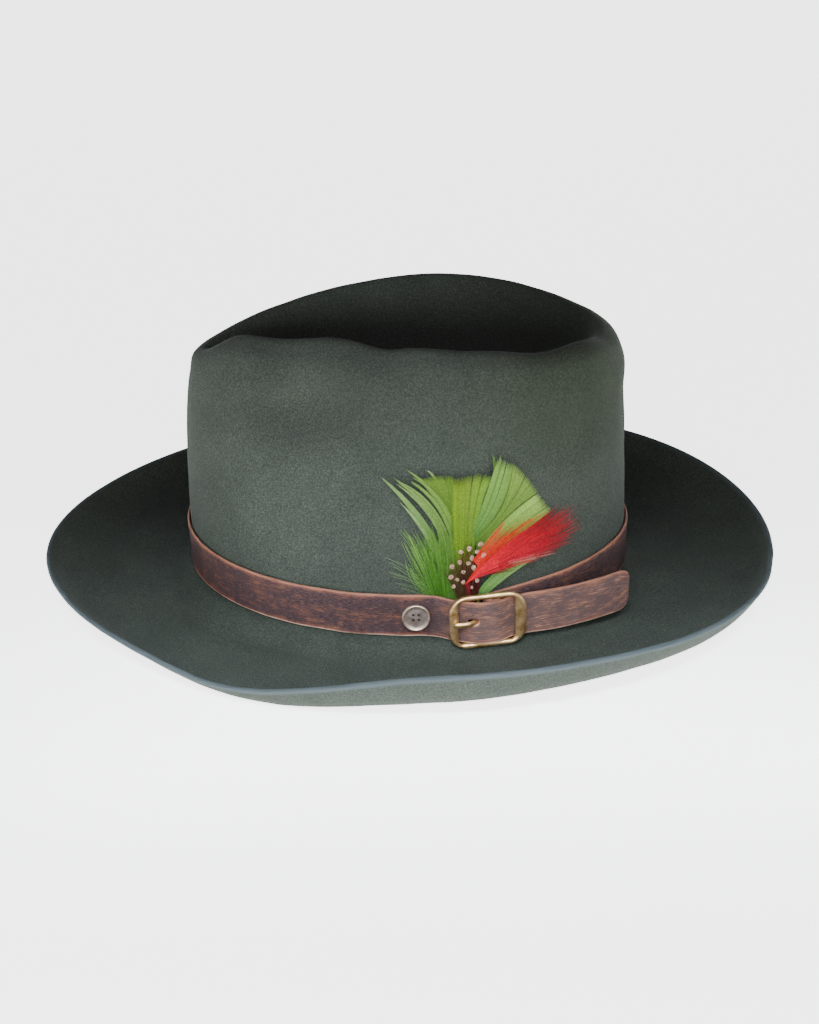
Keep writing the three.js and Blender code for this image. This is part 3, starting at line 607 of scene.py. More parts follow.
def wool_felt(tree):
    # Fur-and-wool felt, pressed and brushed: matt, with a short nap that glows at grazing angles.
    # Its fibres are too fine to show, so they are drawn as flecks of 0.77 mm. Handling leaves broad clouds.
    # The top of the crown is painted darker and greener at the back, as painted shade. The brim's cut edge
    # shows the paler, bluer core.
    tone = add(
        tree, "ShaderNodeValToRGB", [flecks(tree, 0.7692, 3, 0.7)],
        stops=[(0.3, "#292e29"), (0.5, "#383e37"), (0.7, "#4c5249")],
    )
    clouds = add(
        tree, "ShaderNodeValToRGB", [flecks(tree, 35.714, 4, 0.6)], stops=[(0.3, "#dfe2e0"), (0.7, "#ffffff")]
    )
    tone = add(tree, "ShaderNodeMix", [1.0, tone, clouds], data_type="RGBA", blend_type="MULTIPLY")
    place = add(tree, "ShaderNodeTexCoord").node.outputs["Object"]
    backward, _, upward = add(tree, "ShaderNodeSeparateXYZ", [place]).node.outputs
    # Painted shade: the top of the crown gets darker and greener towards the back.
    painted_top_shade = 1.0
    for way, (start, end) in ((backward, TOP_SHADE_SPAN["back"]), (upward, TOP_SHADE_SPAN["top"])):
        share = add(tree, "ShaderNodeMapRange", [way, start * MM, end * MM], interpolation_type="SMOOTHSTEP")
        painted_top_shade = add(tree, "ShaderNodeMath", [painted_top_shade, share], operation="MULTIPLY")
    tone = add(
        tree, "ShaderNodeMix", [painted_top_shade, tone, colour("#c4cbb6")], data_type="RGBA", blend_type="MULTIPLY"
    )
    cut_edge = add(tree, "ShaderNodeAttribute", attribute_name="cut_edge").node.outputs["Fac"]
    tone = add(tree, "ShaderNodeMix", [cut_edge, tone, colour("#444d4f")], data_type="RGBA")
    fibres = flecks(tree, 0.66667, 5, 0.8)
    nap = add(tree, "ShaderNodeBump", {"Height": fibres, "Strength": 0.45, "Distance": 0.5 * MM})
    return {
        "Base Color": tone, "Roughness": 0.95, "Specular IOR Level": 0.15, "Sheen Weight": 0.05,
        "Sheen Roughness": 0.45, "Sheen Tint": colour("#b9c8c0"), "Normal": nap,
    }


def worn_leather(tree, hole):
    # Waxed cowhide, dark when new, rubbed pale at its cut edges, in streaks along its length and at its tail.
    # The UV map lies along the strap in band widths from the tail, with 0 and 1 at its two edges. hole is
    # where the prong has rubbed the leather pale. The pores are drawn as coarse as they need to show.
    lie = add(tree, "ShaderNodeTexCoord").node.outputs["UV"]

    def streaks(length, width, detail, roughness):
        """Streaks of about this length and width in millimetres."""
        scale = (BAND_WIDTH / length, BAND_WIDTH / width, 1)
        stretched = add(tree, "ShaderNodeMapping", {"Vector": lie, "Scale": scale})
        return add(tree, "ShaderNodeTexNoise", [stretched, 1.0, detail, roughness])

    fine = streaks(2.3111, 0.18909, 5, 0.75)
    broad = streaks(9.4545, 0.94545, 4, 0.65)
    patches = streaks(12.235, 6.1176, 6, 0.72)
    scratches = streaks(8, 0.52, 6, 0.75)
    from_tail, across, _ = add(tree, "ShaderNodeSeparateXYZ", [lie]).node.outputs
    from_middle = add(tree, "ShaderNodeMath", [across, 0.5], operation="SUBTRACT")
    from_middle = add(tree, "ShaderNodeMath", [from_middle], operation="ABSOLUTE")
    near_edge = add(tree, "ShaderNodeMath", [patches, 0.22, from_middle], operation="MULTIPLY_ADD")
    at_edge = add(tree, "ShaderNodeMath", [broad, 0.05, from_middle], operation="MULTIPLY_ADD")
    edge_tone = add(tree, "ShaderNodeMix", [across, colour("#f0c8b0"), colour("#90604a")], data_type="RGBA")
    off_hole = add(tree, "ShaderNodeVectorMath", [lie, (*hole, 0)], operation="SUBTRACT")
    grow = (1 / HOLE_WEAR[0], 1 / HOLE_WEAR[1], 0)
    off_hole = add(tree, "ShaderNodeVectorMath", [off_hole, grow], operation="MULTIPLY")
    off_hole = add(tree, "ShaderNodeVectorMath", [off_hole], operation="LENGTH")

    tone = add(
        tree, "ShaderNodeValToRGB", [fine],
        stops=[(0.3, "#110b0d"), (0.44, "#291d20"), (0.55, "#453336"), (0.68, "#7c5c52")],
    )
    # Each layer of wear: its colour, then patterns, the span that each rises in, and its shares at the ends.
    for worn_tone, *masks in (
        (colour("#8c746e"), (from_tail, *TAIL_WEAR, 0.28, 0)),
        (
            colour("#905c40"), (patches, 0.47, 0.62, 0, 1), (broad, 0.44, 0.6, 0, 1),
            (fine, 0.4, 0.58, 0.15, 0.8),
        ),
        (
            colour("#b88468"), (scratches, 0.5, 0.58, 0, 1), (from_tail, *TAIL_WEAR, 0.85, 0),
            (patches, 0.42, 0.56, 0, 1),
        ),
        (colour("#96583e"), (near_edge, 0.5, 0.58, 0, 1), (fine, 0.38, 0.56, 0.1, 0.7)),
        (edge_tone, (at_edge, 0.484, 0.498, 0, 1), (patches, 0.36, 0.5, 0.25, 0.9)),
        (colour("#b67c62"), (off_hole, 0.8, 1.15, 0.85, 0)),
    ):
        share = 1.0
        for mask in masks:
            risen = add(tree, "ShaderNodeMapRange", mask)
            share = add(tree, "ShaderNodeMath", [share, risen], operation="MULTIPLY")
        tone = add(tree, "ShaderNodeMix", [share, tone, worn_tone], data_type="RGBA")

    pores = add(tree, "ShaderNodeTexVoronoi", [lie, BAND_WIDTH / 0.61176], feature="DISTANCE_TO_EDGE")
    pebble = add(tree, "ShaderNodeBump", {"Height": pores, "Strength": 0.15, "Distance": 0.3 * MM})
    relief = add(
        tree, "ShaderNodeBump", {"Height": fine, "Normal": pebble, "Strength": 0.5, "Distance": 0.5 * MM}
    )
    polish = add(tree, "ShaderNodeMapRange", [fine, 0.3, 0.7, 0.5, 0.72])
    return {"Base Color": tone, "Roughness": polish, "Specular IOR Level": 0.22, "Normal": relief}


def aged_metal(tree, dark, light, roughness, shaded):
    # Cast brass, tumbled and aged: soft highlights, with brown left in the low places.
    # The button's plating is darker in its dish than on its rim, which its shade attribute says; the
    # attribute also holds painted shade in the holes.
    blotches = flecks(tree, 3.8462, 3, 0.5)
    tone = add(tree, "ShaderNodeValToRGB", [blotches], stops=[(0.3, dark), (0.56, light)])
    if shaded:
        shade = add(tree, "ShaderNodeAttribute", attribute_name="shade")
        tone = add(tree, "ShaderNodeMix", [1.0, tone, shade], data_type="RGBA", blend_type="MULTIPLY")
    pitting = flecks(tree, 0.625, 3, 0.6)
    scratches = add(tree, "ShaderNodeBump", {"Height": pitting, "Strength": 0.12, "Distance": 0.2 * MM})
    polish = add(tree, "ShaderNodeMapRange", [blotches, 0.35, 0.65, roughness + 0.1, roughness])
    return {"Base Color": tone, "Metallic": 1.0, "Roughness": polish, "Normal": scratches}


def dyed_feather(tree, roughness, see_through):
    # Dyed feather: keratin barbs, faintly glossy along their length, that let a little light through.
    # Each barb brings its own colour, with painted shade at the partings between clumps, in the shade
    # attribute.
    shade = add(tree, "ShaderNodeAttribute", attribute_name="shade")
    specks = flecks(tree, 0.7692, 3, 0.7)
    mottle = add(tree, "ShaderNodeValToRGB", [specks], stops=[(0.3, "#c4c4c4"), (0.65, "#ffffff")])
    tone = add(tree, "ShaderNodeMix", [1.0, shade, mottle], data_type="RGBA", blend_type="MULTIPLY")
    return {
        "Base Color": tone, "Roughness": roughness, "Specular IOR Level": 0.1,
        "Subsurface Weight": see_through, "Subsurface Radius": (0.6, 1, 0.4), "Subsurface Scale": 0.8 * MM,
    }


def pale_spot(tree):
    # Undyed keratin of the spots on a guinea fowl's feather: cream, a little pink from the dye beside it.
    tone = add(
        tree, "ShaderNodeValToRGB", [flecks(tree, 1.1111, 3, 0.7)],
        stops=[(0.3, "#744a3e"), (0.5, "#a07c68"), (0.7, "#c4a890")],
    )
    return {"Base Color": tone, "Roughness": 0.6, "Specular IOR Level": 0.35}


def pale_paper(tree):
    # Pale seamless paper, lit so that it reads as white.
    return {
        "Base Color": colour("#e9e9e7"), "Roughness": 0.9, "Emission Color": colour("#ffffff"),
        "Emission Strength": 3.3,
    }


FELT = made_of("wool_felt", wool_felt)
BRASS = made_of("aged_brass", aged_metal, "#9c7b4c", "#dcbb88", 0.4, False)
BUTTON_METAL = made_of("dark_button_metal", aged_metal, "#c0c0c0", "#ffffff", 0.42, True)
VANE = made_of("dyed_vane", dyed_feather, 0.65, 0.25)
BARB = made_of("dyed_barb", dyed_feather, 0.7, 0.15)
SPOT_HORN = made_of("pale_spot", pale_spot)

# Felt body


def unevenness(points, level):
    """How far hand blocking leaves the felt off its smooth shape, none where the band lies."""
    under_band = smooth_step(level, level_of("middle wall"), level_of("band head"))
    under_band *= 1 - smooth_step(level, level_of("break") + 0.4, level_of("inner brim"))
    swell = [
        sum(noise.noise(Vector(p) / width + Vector(start)) * height for width, height, start in SWELLS)
        for p in points
    ]
    return np.array(swell) * (1 - under_band)


def felt_levels():
    chords = meridians(once_round(24))[1].max(axis=(1, 2))
    levels = []
    for i, chord in enumerate(chords):
        rows = max(2, math.ceil(chord / FELT_ROW))
        levels.extend(i + np.arange(rows) / rows)
    return np.array(levels + [len(chords)])


def felt_body():
    levels = felt_levels()
    level, angle = (grid.ravel() for grid in np.meshgrid(levels, once_round(FELT_COLUMNS), indexing="ij"))
    normal = felt_normal(angle, level)
    outside = felt_point(angle, level)
    outside += normal * unevenness(outside, level)[:, None]
    inside = outside - normal * FELT_WALL
    outside[:, 2] = np.maximum(outside[:, 2], FELT_WALL)
    inside[:, 2] = np.maximum(inside[:, 2], 0)

    shape = (len(levels), FELT_COLUMNS, 3)
    outside, inside = outside.reshape(shape), inside.reshape(shape)[::-1]
    rim_out = outside[-1] - outside[-2]
    rim_out /= np.linalg.norm(rim_out, axis=1)[:, None]
    edge = [outside[-1] * (1 - share) + inside[0] * share + rim_out * push for share, push in CUT_EDGE]
    rings = np.concatenate([outside, np.stack(edge), inside])
    rows = len(rings)
    faces = grid_faces(rows, FELT_COLUMNS).tolist()
    # The crease's floor is closed by strips from side to side.
    for start in (0, (rows - 1) * FELT_COLUMNS):
        for i in range(FELT_COLUMNS // 2):
            strip = (i, (FELT_COLUMNS - i) % FELT_COLUMNS, FELT_COLUMNS - i - 1, i + 1)
            faces.append(list(dict.fromkeys(start + corner for corner in strip)))
    piece = mesh_object("felt_body", rings.reshape(-1, 3), faces, FELT)
    cut_edge = np.zeros((rows, FELT_COLUMNS))
    cut_edge[len(levels) - 1 : len(levels) + len(edge) + 1] = 1
    mark(piece.data, "cut_edge", "FLOAT", cut_edge)
    return piece


# Leather strap


def strap_route():
    """Rows of along, off and drop, from the flap behind the buckle, round the crown and out to the tail."""
    step = 2.5
    start, end = FOLD[-1][0] + step, LAP + OVERLAP[0][0] - step
    along = np.linspace(start, end, round((end - start) / step) + 1)
    plain = np.stack([
        along,
        np.full(len(along), BAND_GAP + BAND_THICKNESS / 2),
        -BACK_RISE["height"] * bump(along - BACK_RISE["along"], BACK_RISE["spread"]),
    ], axis=1)
    overlap = np.array(OVERLAP) + [LAP, 0, 0]
    return np.concatenate([smooth_through(FOLD, 0.8), plain, smooth_through(overlap, 1)])


def strap_section():
    """Round the strap's cut end: height share from 0 to 1, and side from -1 at the back to 1 at the face."""
    across = np.linspace(0.045, 0.955, 13)
    face = [(h, 1 - 0.12 * abs(2 * h - 1) ** 6) for h in across]
    head = [(0.985, 0.62), (1, 0.15), (0.997, -0.4), (0.975, -0.86)]
    back = [(h, -1) for h in across[::-1]]
    foot = [(1 - h, side) for h, side in head[::-1]]
    return np.array(face + head + back + foot)


def prong_hole():
    """The prong's hole on the strap's UV map."""
    route = strap_route()
    walked = lengths_along(route[:, :2])
    at = np.argmin(np.abs(route[:, 0] - LAP - PRONG_HOLE["along"]) + (route[:, 0] < LAP / 2) * LAP)
    return (walked[-1] - walked[at]) / BAND_WIDTH, 0.5


def leather_strap():
    route = strap_route()
    section = strap_section()
    ahead = np.gradient(route[:, :2], axis=0)
    ahead /= np.linalg.norm(ahead, axis=1)[:, None]
    walked = lengths_along(route[:, :2])
    into_corner = np.clip(route[:, 0] - (route[-1, 0] - TAIL_CORNER), 0, TAIL_CORNER * 0.995)
    trimmed = TAIL_CORNER - np.sqrt(TAIL_CORNER**2 - into_corner**2)
    # Hand-cut edges wander a little from a straight line.
    wander = [noise.noise(Vector((w / EDGE_WANDER["length"], 3, 0))) * EDGE_WANDER["height"] for w in walked]
    wander = np.array(wander)
    share, side = section[:, 0], section[:, 1] * BAND_THICKNESS / 2
    foot = (BAND_FOOT + trimmed + wander)[:, None]
    head = (BAND_FOOT + BAND_WIDTH - trimmed + wander * 0.6)[:, None]
    height = foot + (head - foot) * share
    along = route[:, :1] - side * ahead[:, 1:]
    off = route[:, 1:2] + side * ahead[:, :1]
    points = on_wall(along, height, off).reshape(len(route), len(section), 3)
    points[..., 2] -= route[:, 2:3]
    u = np.broadcast_to(((walked[-1] - walked) / BAND_WIDTH)[:, None], height.shape)
    v = np.broadcast_to(share, height.shape)
    points, faces = swept(points)
    piece = mesh_object("leather_strap", points, faces, LEATHER, uv=np.stack([u, v], axis=-1).reshape(-1, 2))
    for slot in (FOLD_SLOT, PRONG_HOLE):
        cut(piece, slot_cutter(BAND_MIDDLE - PRONG["drop"], **slot))
    return piece


def slot_cutter(height, along, off, length, rise, depth):
    """A slot with round ends, square to the wall."""
    place = wall_place(along, height)
    radius = rise / 2
    outline = []
    for centre, start in ((length / 2 - radius, -90), (radius - length / 2, 90)):
        for i in range(9):
            turn = math.radians(start + 22.5 * i)
            outline.append((centre + radius * math.cos(turn), radius * math.sin(turn)))
    rings = [[place @ Vector((x, -off + side * depth / 2, z)) for x, z in outline] for side in (-1, 1)]
    return mesh_object("slot_cutter", *swept(np.array(rings)), LEATHER)


# Buckle


def rounded_outline(left, right, bottom, top, corner, steps, straight):
    """Points of a rectangle with round corners, with extra points on its straight sides."""
    centres = (
        (right - corner, bottom + corner, -0.5), (right - corner, top - corner, 0),
        (left + corner, top - corner, 0.5), (left + corner, bottom + corner, 1),
    )
    arcs = [
        [(x + corner * math.cos((turn + 0.5 * i / steps) * math.pi),
          z + corner * math.sin((turn + 0.5 * i / steps) * math.pi)) for i in range(steps + 1)]
        for x, z, turn in centres
    ]
    outline = []
    for arc, following in zip(arcs, arcs[1:] + arcs[:1]):
        outline.extend(arc)
        a, b = np.array(arc[-1]), np.array(following[0])
        outline.extend(tuple(a + (b - a) * i / straight) for i in range(1, straight))
    return np.array(outline)


def in_place(points, place):
    return np.asarray(points) @ np.array(place.to_3x3()).T + np.array(place.translation)


def buckle_frame(place):
    """A cast frame: flat behind, domed in front, with a round centre bar."""
    width, height = FRAME["width"], FRAME["height"]
    outer = rounded_outline(-width / 2, width / 2, -height / 2, height / 2, FRAME["corner"], 12, 8)
    inner = rounded_outline(
        -width / 2 + FRAME_RAIL["left"], width / 2 - FRAME_RAIL["right"],
        -height / 2 + FRAME_RAIL["bottom"], height / 2 - FRAME_RAIL["top"], FRAME_RAIL["inner_corner"], 12, 8,
    )
    dome = [((1 - math.cos(t)) / 2, 0.12 + 0.38 * math.sin(t)) for t in np.linspace(0, np.pi, 11)]
    section = np.array([(0.1, -0.5), (0.02, -0.36), *dome, (0.98, -0.36), (0.9, -0.5), (0.5, -0.5)])
    flat = inner[:, None] + (outer - inner)[:, None] * section[None, :, :1]
    middle = FRAME_OFF["left"] + (flat[..., 0] / width + 0.5) * (FRAME_OFF["right"] - FRAME_OFF["left"])
    off = middle + section[:, 1] * FRAME["thickness"]
    rings = np.stack([flat[..., 0] + FRAME["shift"], -off, flat[..., 1] - FRAME["drop"]], axis=-1)
    turns = once_round(16)
    reach = height / 2 - FRAME_RAIL["top"] / 2
    bar = np.stack([
        np.stack([
            CENTRE_BAR["width"] / 2 * np.cos(turns),
            -CENTRE_BAR["off"] + CENTRE_BAR["thickness"] / 2 * np.sin(turns),
            np.full(len(turns), z - FRAME["drop"]),
        ], axis=1)
        for z in (-reach, reach)
    ])
    points, faces = joined(swept(rings, closed=True), swept(bar))
    return mesh_object("brass_frame", in_place(points, place), faces, BRASS)


def buckle_prong(place):
    """A round shank that leaves its eye on the centre bar and comes up through the leather to the rail."""
    route = smooth_through(PRONG_SHANK, 0.5)
    ahead = np.gradient(route, axis=0)
    ahead /= np.linalg.norm(ahead, axis=1)[:, None]
    turns = once_round(16)
    size = np.full(len(route), float(PRONG["radius"]))
    size[-len(PRONG_TIP) :] *= PRONG_TIP
    shank = []
    for (along, off), (da, do), radius in zip(route, ahead, size):
        x = along - do * radius * np.cos(turns)
        y = -(off + da * radius * np.cos(turns))
        shank.append(np.stack([x, y, PRONG["tall"] * radius * np.sin(turns) - PRONG["drop"]], axis=1))
    half_x = CENTRE_BAR["width"] / 2 + PRONG["clearance"]
    half_y = CENTRE_BAR["thickness"] / 2 + PRONG["clearance"]
    section = rounded_outline(0, PRONG["eye_wall"], -PRONG["width"] / 2, PRONG["width"] / 2, 0.3, 4, 3)
    eye = []
    for turn in once_round(32):
        x = (half_x + section[:, 0]) * math.cos(turn)
        y = (half_y + section[:, 0]) * math.sin(turn) - CENTRE_BAR["off"]
        eye.append(np.stack([x, y, section[:, 1] - PRONG["drop"]], axis=1))
    points, faces = joined(swept(np.array(shank)), swept(np.array(eye), closed=True))
    return mesh_object("brass_prong", in_place(points, place), faces, BRASS)


# Button


def band_button(place):
    """A four-hole button with a thin raised rim round a shallow dish."""
    radius, thickness, rim, dish = (BUTTON[name] for name in ("radius", "thickness", "rim", "dish"))
    profile = [
        (0.001, 0), (radius - 0.7, 0), (radius - 0.25, 0.12), (radius - 0.03, 0.45), (radius, 0.9),
        (radius - 0.08, thickness - 0.35), (radius - 0.28, thickness - 0.08), (radius - 0.5, thickness),
        (radius - 0.75, thickness - 0.08), (radius - rim + 0.1, thickness - 0.4),
        (radius - rim - 0.1, dish + 0.15), (radius - rim - 0.5, dish), (radius * 0.55, dish + 0.05),
        (radius * 0.3, dish + 0.16), (0.001, dish + 0.2),
    ]

    def turned(outline, count, x=0, z=0):
        turns = once_round(count)
        rings = [np.stack([r * np.cos(turns) + x, np.full(count, -out), r * np.sin(turns) + z], axis=1)
                 for r, out in outline]
        points, faces = swept(np.array(rings))
        return mesh_object("button", in_place(points, place), faces, BUTTON_METAL)

    piece = turned(profile, 96)
    drill = ((BUTTON["hole"], 4), (BUTTON["hole"], -2))
    half_pitch = BUTTON["pitch"] / 2
    for x in (-half_pitch, half_pitch):
        for z in (-half_pitch, half_pitch):
            cut(piece, turned(drill, 20, x, z))
    piece.data.set_sharp_from_angle(angle=math.radians(40))

    at = np.array([place.inverted() @ (vertex.co / MM) for vertex in piece.data.vertices])
    on_rim = smooth_step(np.hypot(at[:, 0], at[:, 2]), radius - rim - 0.15, radius - rim + 0.25)[:, None]
    rim_tone, dish_tone = (np.array(colour(BUTTON_TONES[name])) for name in ("rim", "dish"))
    shade = on_rim * rim_tone + (1 - on_rim) * dish_tone
    # The walls of the holes are darkened as painted shade.
    painted_hole_shade = (-at[:, 1] < dish - 0.15) & (on_rim[:, 0] == 0)
    shade[painted_hole_shade] *= BUTTON_TONES["painted_hole_shade"]
    mark(piece.data, "shade", "FLOAT_COLOR", shade)
    return piece


# Feathers, from their vanes to meshes


def line_length(line):
    return lengths_along(np.array(line, float))[-1]


def on_line(line, share):
    """Points at shares of a line's length."""
    return at_lengths(np.array(line, float), share * line_length(line))


def through(t, start, middle, end):
    """The value at t of a bend that goes from start to end by way of middle."""
    return start * (1 - t) * (1 - 2 * t) + middle * 4 * t * (1 - t) + end * t * (2 * t - 1)


def lay_barbs(vane, rows, rng):
    """The middle lines of a vane's barbs: along, up and off, half width and colour at each row."""
    count, clumps = vane["barbs"], vane["clumps"]
    share = (np.arange(count) + 0.5) / count
    borders = np.arange(1, clumps) / clumps + rng.normal(0, 0.25 / clumps, clumps - 1)
    borders = np.sort(np.clip(borders, 0.02, 0.98))
    borders = np.concatenate([[0], borders, [1]])
    clump = np.clip(np.searchsorted(borders, share) - 1, 0, clumps - 1)
    middle_share = (borders[clump] + borders[clump + 1]) / 2
    stray = rng.normal(0, vane["stray"], count)
    closer = (middle_share - share) * vane["gather"]
    start = on_line(vane["starts"], share)
    middle = on_line(vane["middles"], share + closer * 0.3 + stray * 0.3)
    end = on_line(vane["ends"], np.clip(share + closer + stray, 0, 1))

    reach = 1 - vane["ragged"] * np.abs(rng.normal(0, 1, count))
    reach -= vane["ragged"] * rng.uniform(0, 1, clumps)[clump]
    t = np.linspace(0, 1, rows)[None, :] * np.maximum(reach, LEAST["reach"])[:, None]
    path = through(t[..., None], start[:, None], middle[:, None], end[:, None])
    ahead = (end - start) / np.linalg.norm(end - start, axis=1)[:, None]
    sway, flick = rng.normal(0, vane["curl"], (2, count, 1))
    bend = sway * np.sin(np.pi * t) + flick * t**3
    path = path + bend[..., None] * np.stack([-ahead[:, 1], ahead[:, 0]], axis=1)[:, None]
    lift = rng.uniform(-0.08, 0.1, clumps)[clump] + rng.uniform(-0.03, 0.03, count)
    off = through(t, *vane["off"]) + lift[:, None] + 0.1 * (share * clumps % 1)[:, None]

    spread = [line_length(vane[name]) / count for name in ("starts", "middles", "ends")]
    half = np.maximum(through(t, *spread) * OVERLAPPING * vane["fine"], LEAST["half_width"])
    half = half * np.minimum(1, (1 - np.linspace(0, 1, rows)) * vane["blunt"] + 0.15)

    stops = [stop[0] for stop in vane["tones"]]
    roots, tips = (np.array([colour(stop[k]) for stop in vane["tones"]]) for k in (1, 2))
    root, tip = (
        np.stack([np.interp(share, stops, codes[:, k]) for k in range(4)], axis=-1) for codes in (roots, tips)
    )
    fade = (t**1.2)[..., None]
    at_border = np.abs(share - middle_share) / (borders[clump + 1] - borders[clump]) * 2
    tone = rng.uniform(0.9, 1.08, clumps)[clump] * rng.normal(1, vane["mixed"], count).clip(0.3, 1.6)
    # Painted shade: barbs at the borders of a clump are darker, as if shaded in the partings.
    tone = tone * (1 - vane["shadow"] * smooth_step(at_border, 0.75, 1))
    shade = (root[:, None] * (1 - fade) + tip[:, None] * fade) * tone[:, None, None]
    return np.stack([path[..., 0], path[..., 1], off], axis=-1), half, shade


def spike_vane(start, middle, end, width, root, tip):
    """The row of a vane for one narrow blade."""
    def line(point, half):
        return ((point[0] - half, point[1]), (point[0] + half, point[1]))

    return (
        line(start, width * 0.4), line(middle, width * 0.5), line(end, 0.25),
        (1.2, 2.1, 3.4), 7, 1, 0, 0.05, ((0, root, tip), (1, root, tip)), {"shadow": 0.2},
    )


def growth(name, inputs):
    """A geometry tree with these named inputs."""
    tree = bpy.data.node_groups.new(name, "GeometryNodeTree")
    for socket, kind in inputs.items():
        tree.interface.new_socket(socket, in_out="INPUT", socket_type=f"NodeSocket{kind}")
    tree.interface.new_socket("Grown", in_out="OUTPUT", socket_type="NodeSocketGeometry")
    return tree, add(tree, "NodeGroupInput").node.outputs


def barb_tree():
    """Sweeps a flat diamond along every guide line, with its width, facing and colour from the guides."""
    tree, given = growth("barbs", {"Guides": "Geometry", "Flatness": "Float", "Material": "Material"})
    facing = add(tree, "GeometryNodeInputNamedAttribute", ["facing"], data_type="FLOAT_VECTOR")
    half = add(tree, "GeometryNodeInputNamedAttribute", ["half_width"], data_type="FLOAT")
    lines = add(tree, "GeometryNodeMeshToCurve", [given["Guides"]])
    faced = add(tree, "GeometryNodeSetCurveNormal", {"Curve": lines, "Normal": facing}, mode="FREE")
    diamond = add(tree, "GeometryNodeCurvePrimitiveQuadrilateral", [given["Flatness"], 1.0, 1.0], mode="KITE")
    barbs = add(tree, "GeometryNodeCurveToMesh", [faced, diamond, half, True])
    real = add(tree, "GeometryNodeRealizeInstances", [barbs])
    painted = add(tree, "GeometryNodeSetMaterial", {"Geometry": real, "Material": given["Material"]})
    add(tree, "NodeGroupOutput", {"Grown": painted})
    return tree


def spot_tree():
    """Sets a small flat dome on every point, each with its own size and dents."""
    tree, given = growth(
        "spots", {"Points": "Geometry", "Radius": "Float", "Seed": "Int", "Material": "Material"}
    )
    facing = add(tree, "GeometryNodeInputNamedAttribute", ["facing"], data_type="FLOAT_VECTOR")
    turn = add(tree, "FunctionNodeAlignRotationToVector", {"Vector": facing}, axis="Z")
    size = add(
        tree, "FunctionNodeRandomValue", {"Min": SPOT["least"], "Max": SPOT["most"], "Seed": given["Seed"]},
        data_type="FLOAT_VECTOR",
    )
    dome = add(tree, "GeometryNodeMeshUVSphere", [12, 6, given["Radius"]])
    placed = add(
        tree, "GeometryNodeInstanceOnPoints",
        {"Points": given["Points"], "Instance": dome, "Rotation": turn, "Scale": size},
    )
    real = add(tree, "GeometryNodeRealizeInstances", [placed])
    dents = add(tree, "ShaderNodeTexNoise", {"Scale": SPOT_DENTS["per_mm"] / MM, "Detail": 2}).node
    centred = add(
        tree, "ShaderNodeVectorMath", [dents.outputs["Color"], (0.5, 0.5, 0.5)], operation="SUBTRACT"
    )
    shift = add(tree, "ShaderNodeVectorMath", [centred, SPOT_DENTS["depth"] * MM], operation="SCALE")
    uneven = add(tree, "GeometryNodeSetPosition", {"Geometry": real, "Offset": shift})
    painted = add(tree, "GeometryNodeSetMaterial", {"Geometry": uneven, "Material": given["Material"]})
    add(tree, "NodeGroupOutput", {"Grown": painted})
    return tree


def grown(name, guides, tree, inputs):
    """A plain mesh object of what the tree makes from the guides."""
    modifier = guides.modifiers.new("growth", "NODES")
    modifier.node_group = tree
    for socket in tree.interface.items_tree:
        if socket.name in inputs:
            modifier[socket.identifier] = inputs[socket.name]
    mesh = plain_mesh(guides)
    bpy.data.objects.remove(guides)
    mesh.polygons.foreach_set("use_smooth", [True] * len(mesh.polygons))
    piece = shown(name, mesh)
    faces_outward(piece)
    return piece


def guide_object(points, edges, marks):
    """Points and lines for a tree to grow on. marks are attributes: a kind and values for each name."""
    mesh = bpy.data.meshes.new("guides")
    mesh.from_pydata((points * MM).tolist(), edges, [])
    for name, (kind, values) in marks.items():
        mark(mesh, name, kind, values)
    return shown("guides", mesh)


def feather(name, table, rows, material):
    """All the barbs of a feather as one mesh."""
    rng = np.random.default_rng(SEED)
    vanes = (dict(zip(VANE_COLUMNS, row)) for row in table)
    laid = [lay_barbs({**USUAL, **vane, **vane["also"]}, rows, rng) for vane in vanes]
    places, half, shade = (np.concatenate([vane[k] for vane in laid]) for k in range(3))
    along, up, off = places.reshape(-1, 3).T
    first = np.arange(len(places))[:, None] * rows + np.arange(rows - 1)
    edges = np.stack([first, first + 1], axis=-1).reshape(-1, 2).tolist()
    guides = guide_object(on_wall(along, up, off), edges, {
        "facing": ("FLOAT_VECTOR", wall_out(along)),
        "half_width": ("FLOAT", half * MM),
        "shade": ("FLOAT_COLOR", shade),
    })
    return grown(name, guides, BARB_TREE, {"Flatness": 0.6, "Material": material})


def feather_spots():
    along, up = np.array(SPOTS, float).T
    guides = guide_object(on_wall(along, up, SPOT["off"]), [], {"facing": ("FLOAT_VECTOR", wall_out(along))})
    inputs = {"Radius": SPOT["radius"] * MM, "Seed": SEED, "Material": SPOT_HORN}
    return grown("feather_spots", guides, spot_tree(), inputs)


def add_piece(piece, node):
    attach(piece, "root")
    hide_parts(node)


LEATHER = made_of("worn_leather", worn_leather, prong_hole())

add_piece(felt_body(), "hat_body")
add_piece(leather_strap(), "hat_band")
BUCKLE_PLACE = wall_place(0, BAND_MIDDLE)
add_piece(buckle_frame(BUCKLE_PLACE), "buckle_frame")
add_piece(buckle_prong(BUCKLE_PLACE), "buckle_prong")

near_side = (WALK_POINTS[:, 1] < 0) & (WALK_ALONG > LAP / 2) & (WALK_POINTS[:, 0] > BUTTON["x"])
BUTTON_PLACE = wall_place(WALK_ALONG[np.argmax(near_side)], BAND_MIDDLE + BUTTON["rise"])
BUTTON_PLACE = BUTTON_PLACE @ Matrix.Translation((0, -BUTTON_STANDS, 0))
add_piece(band_button(BUTTON_PLACE), "band_stud")

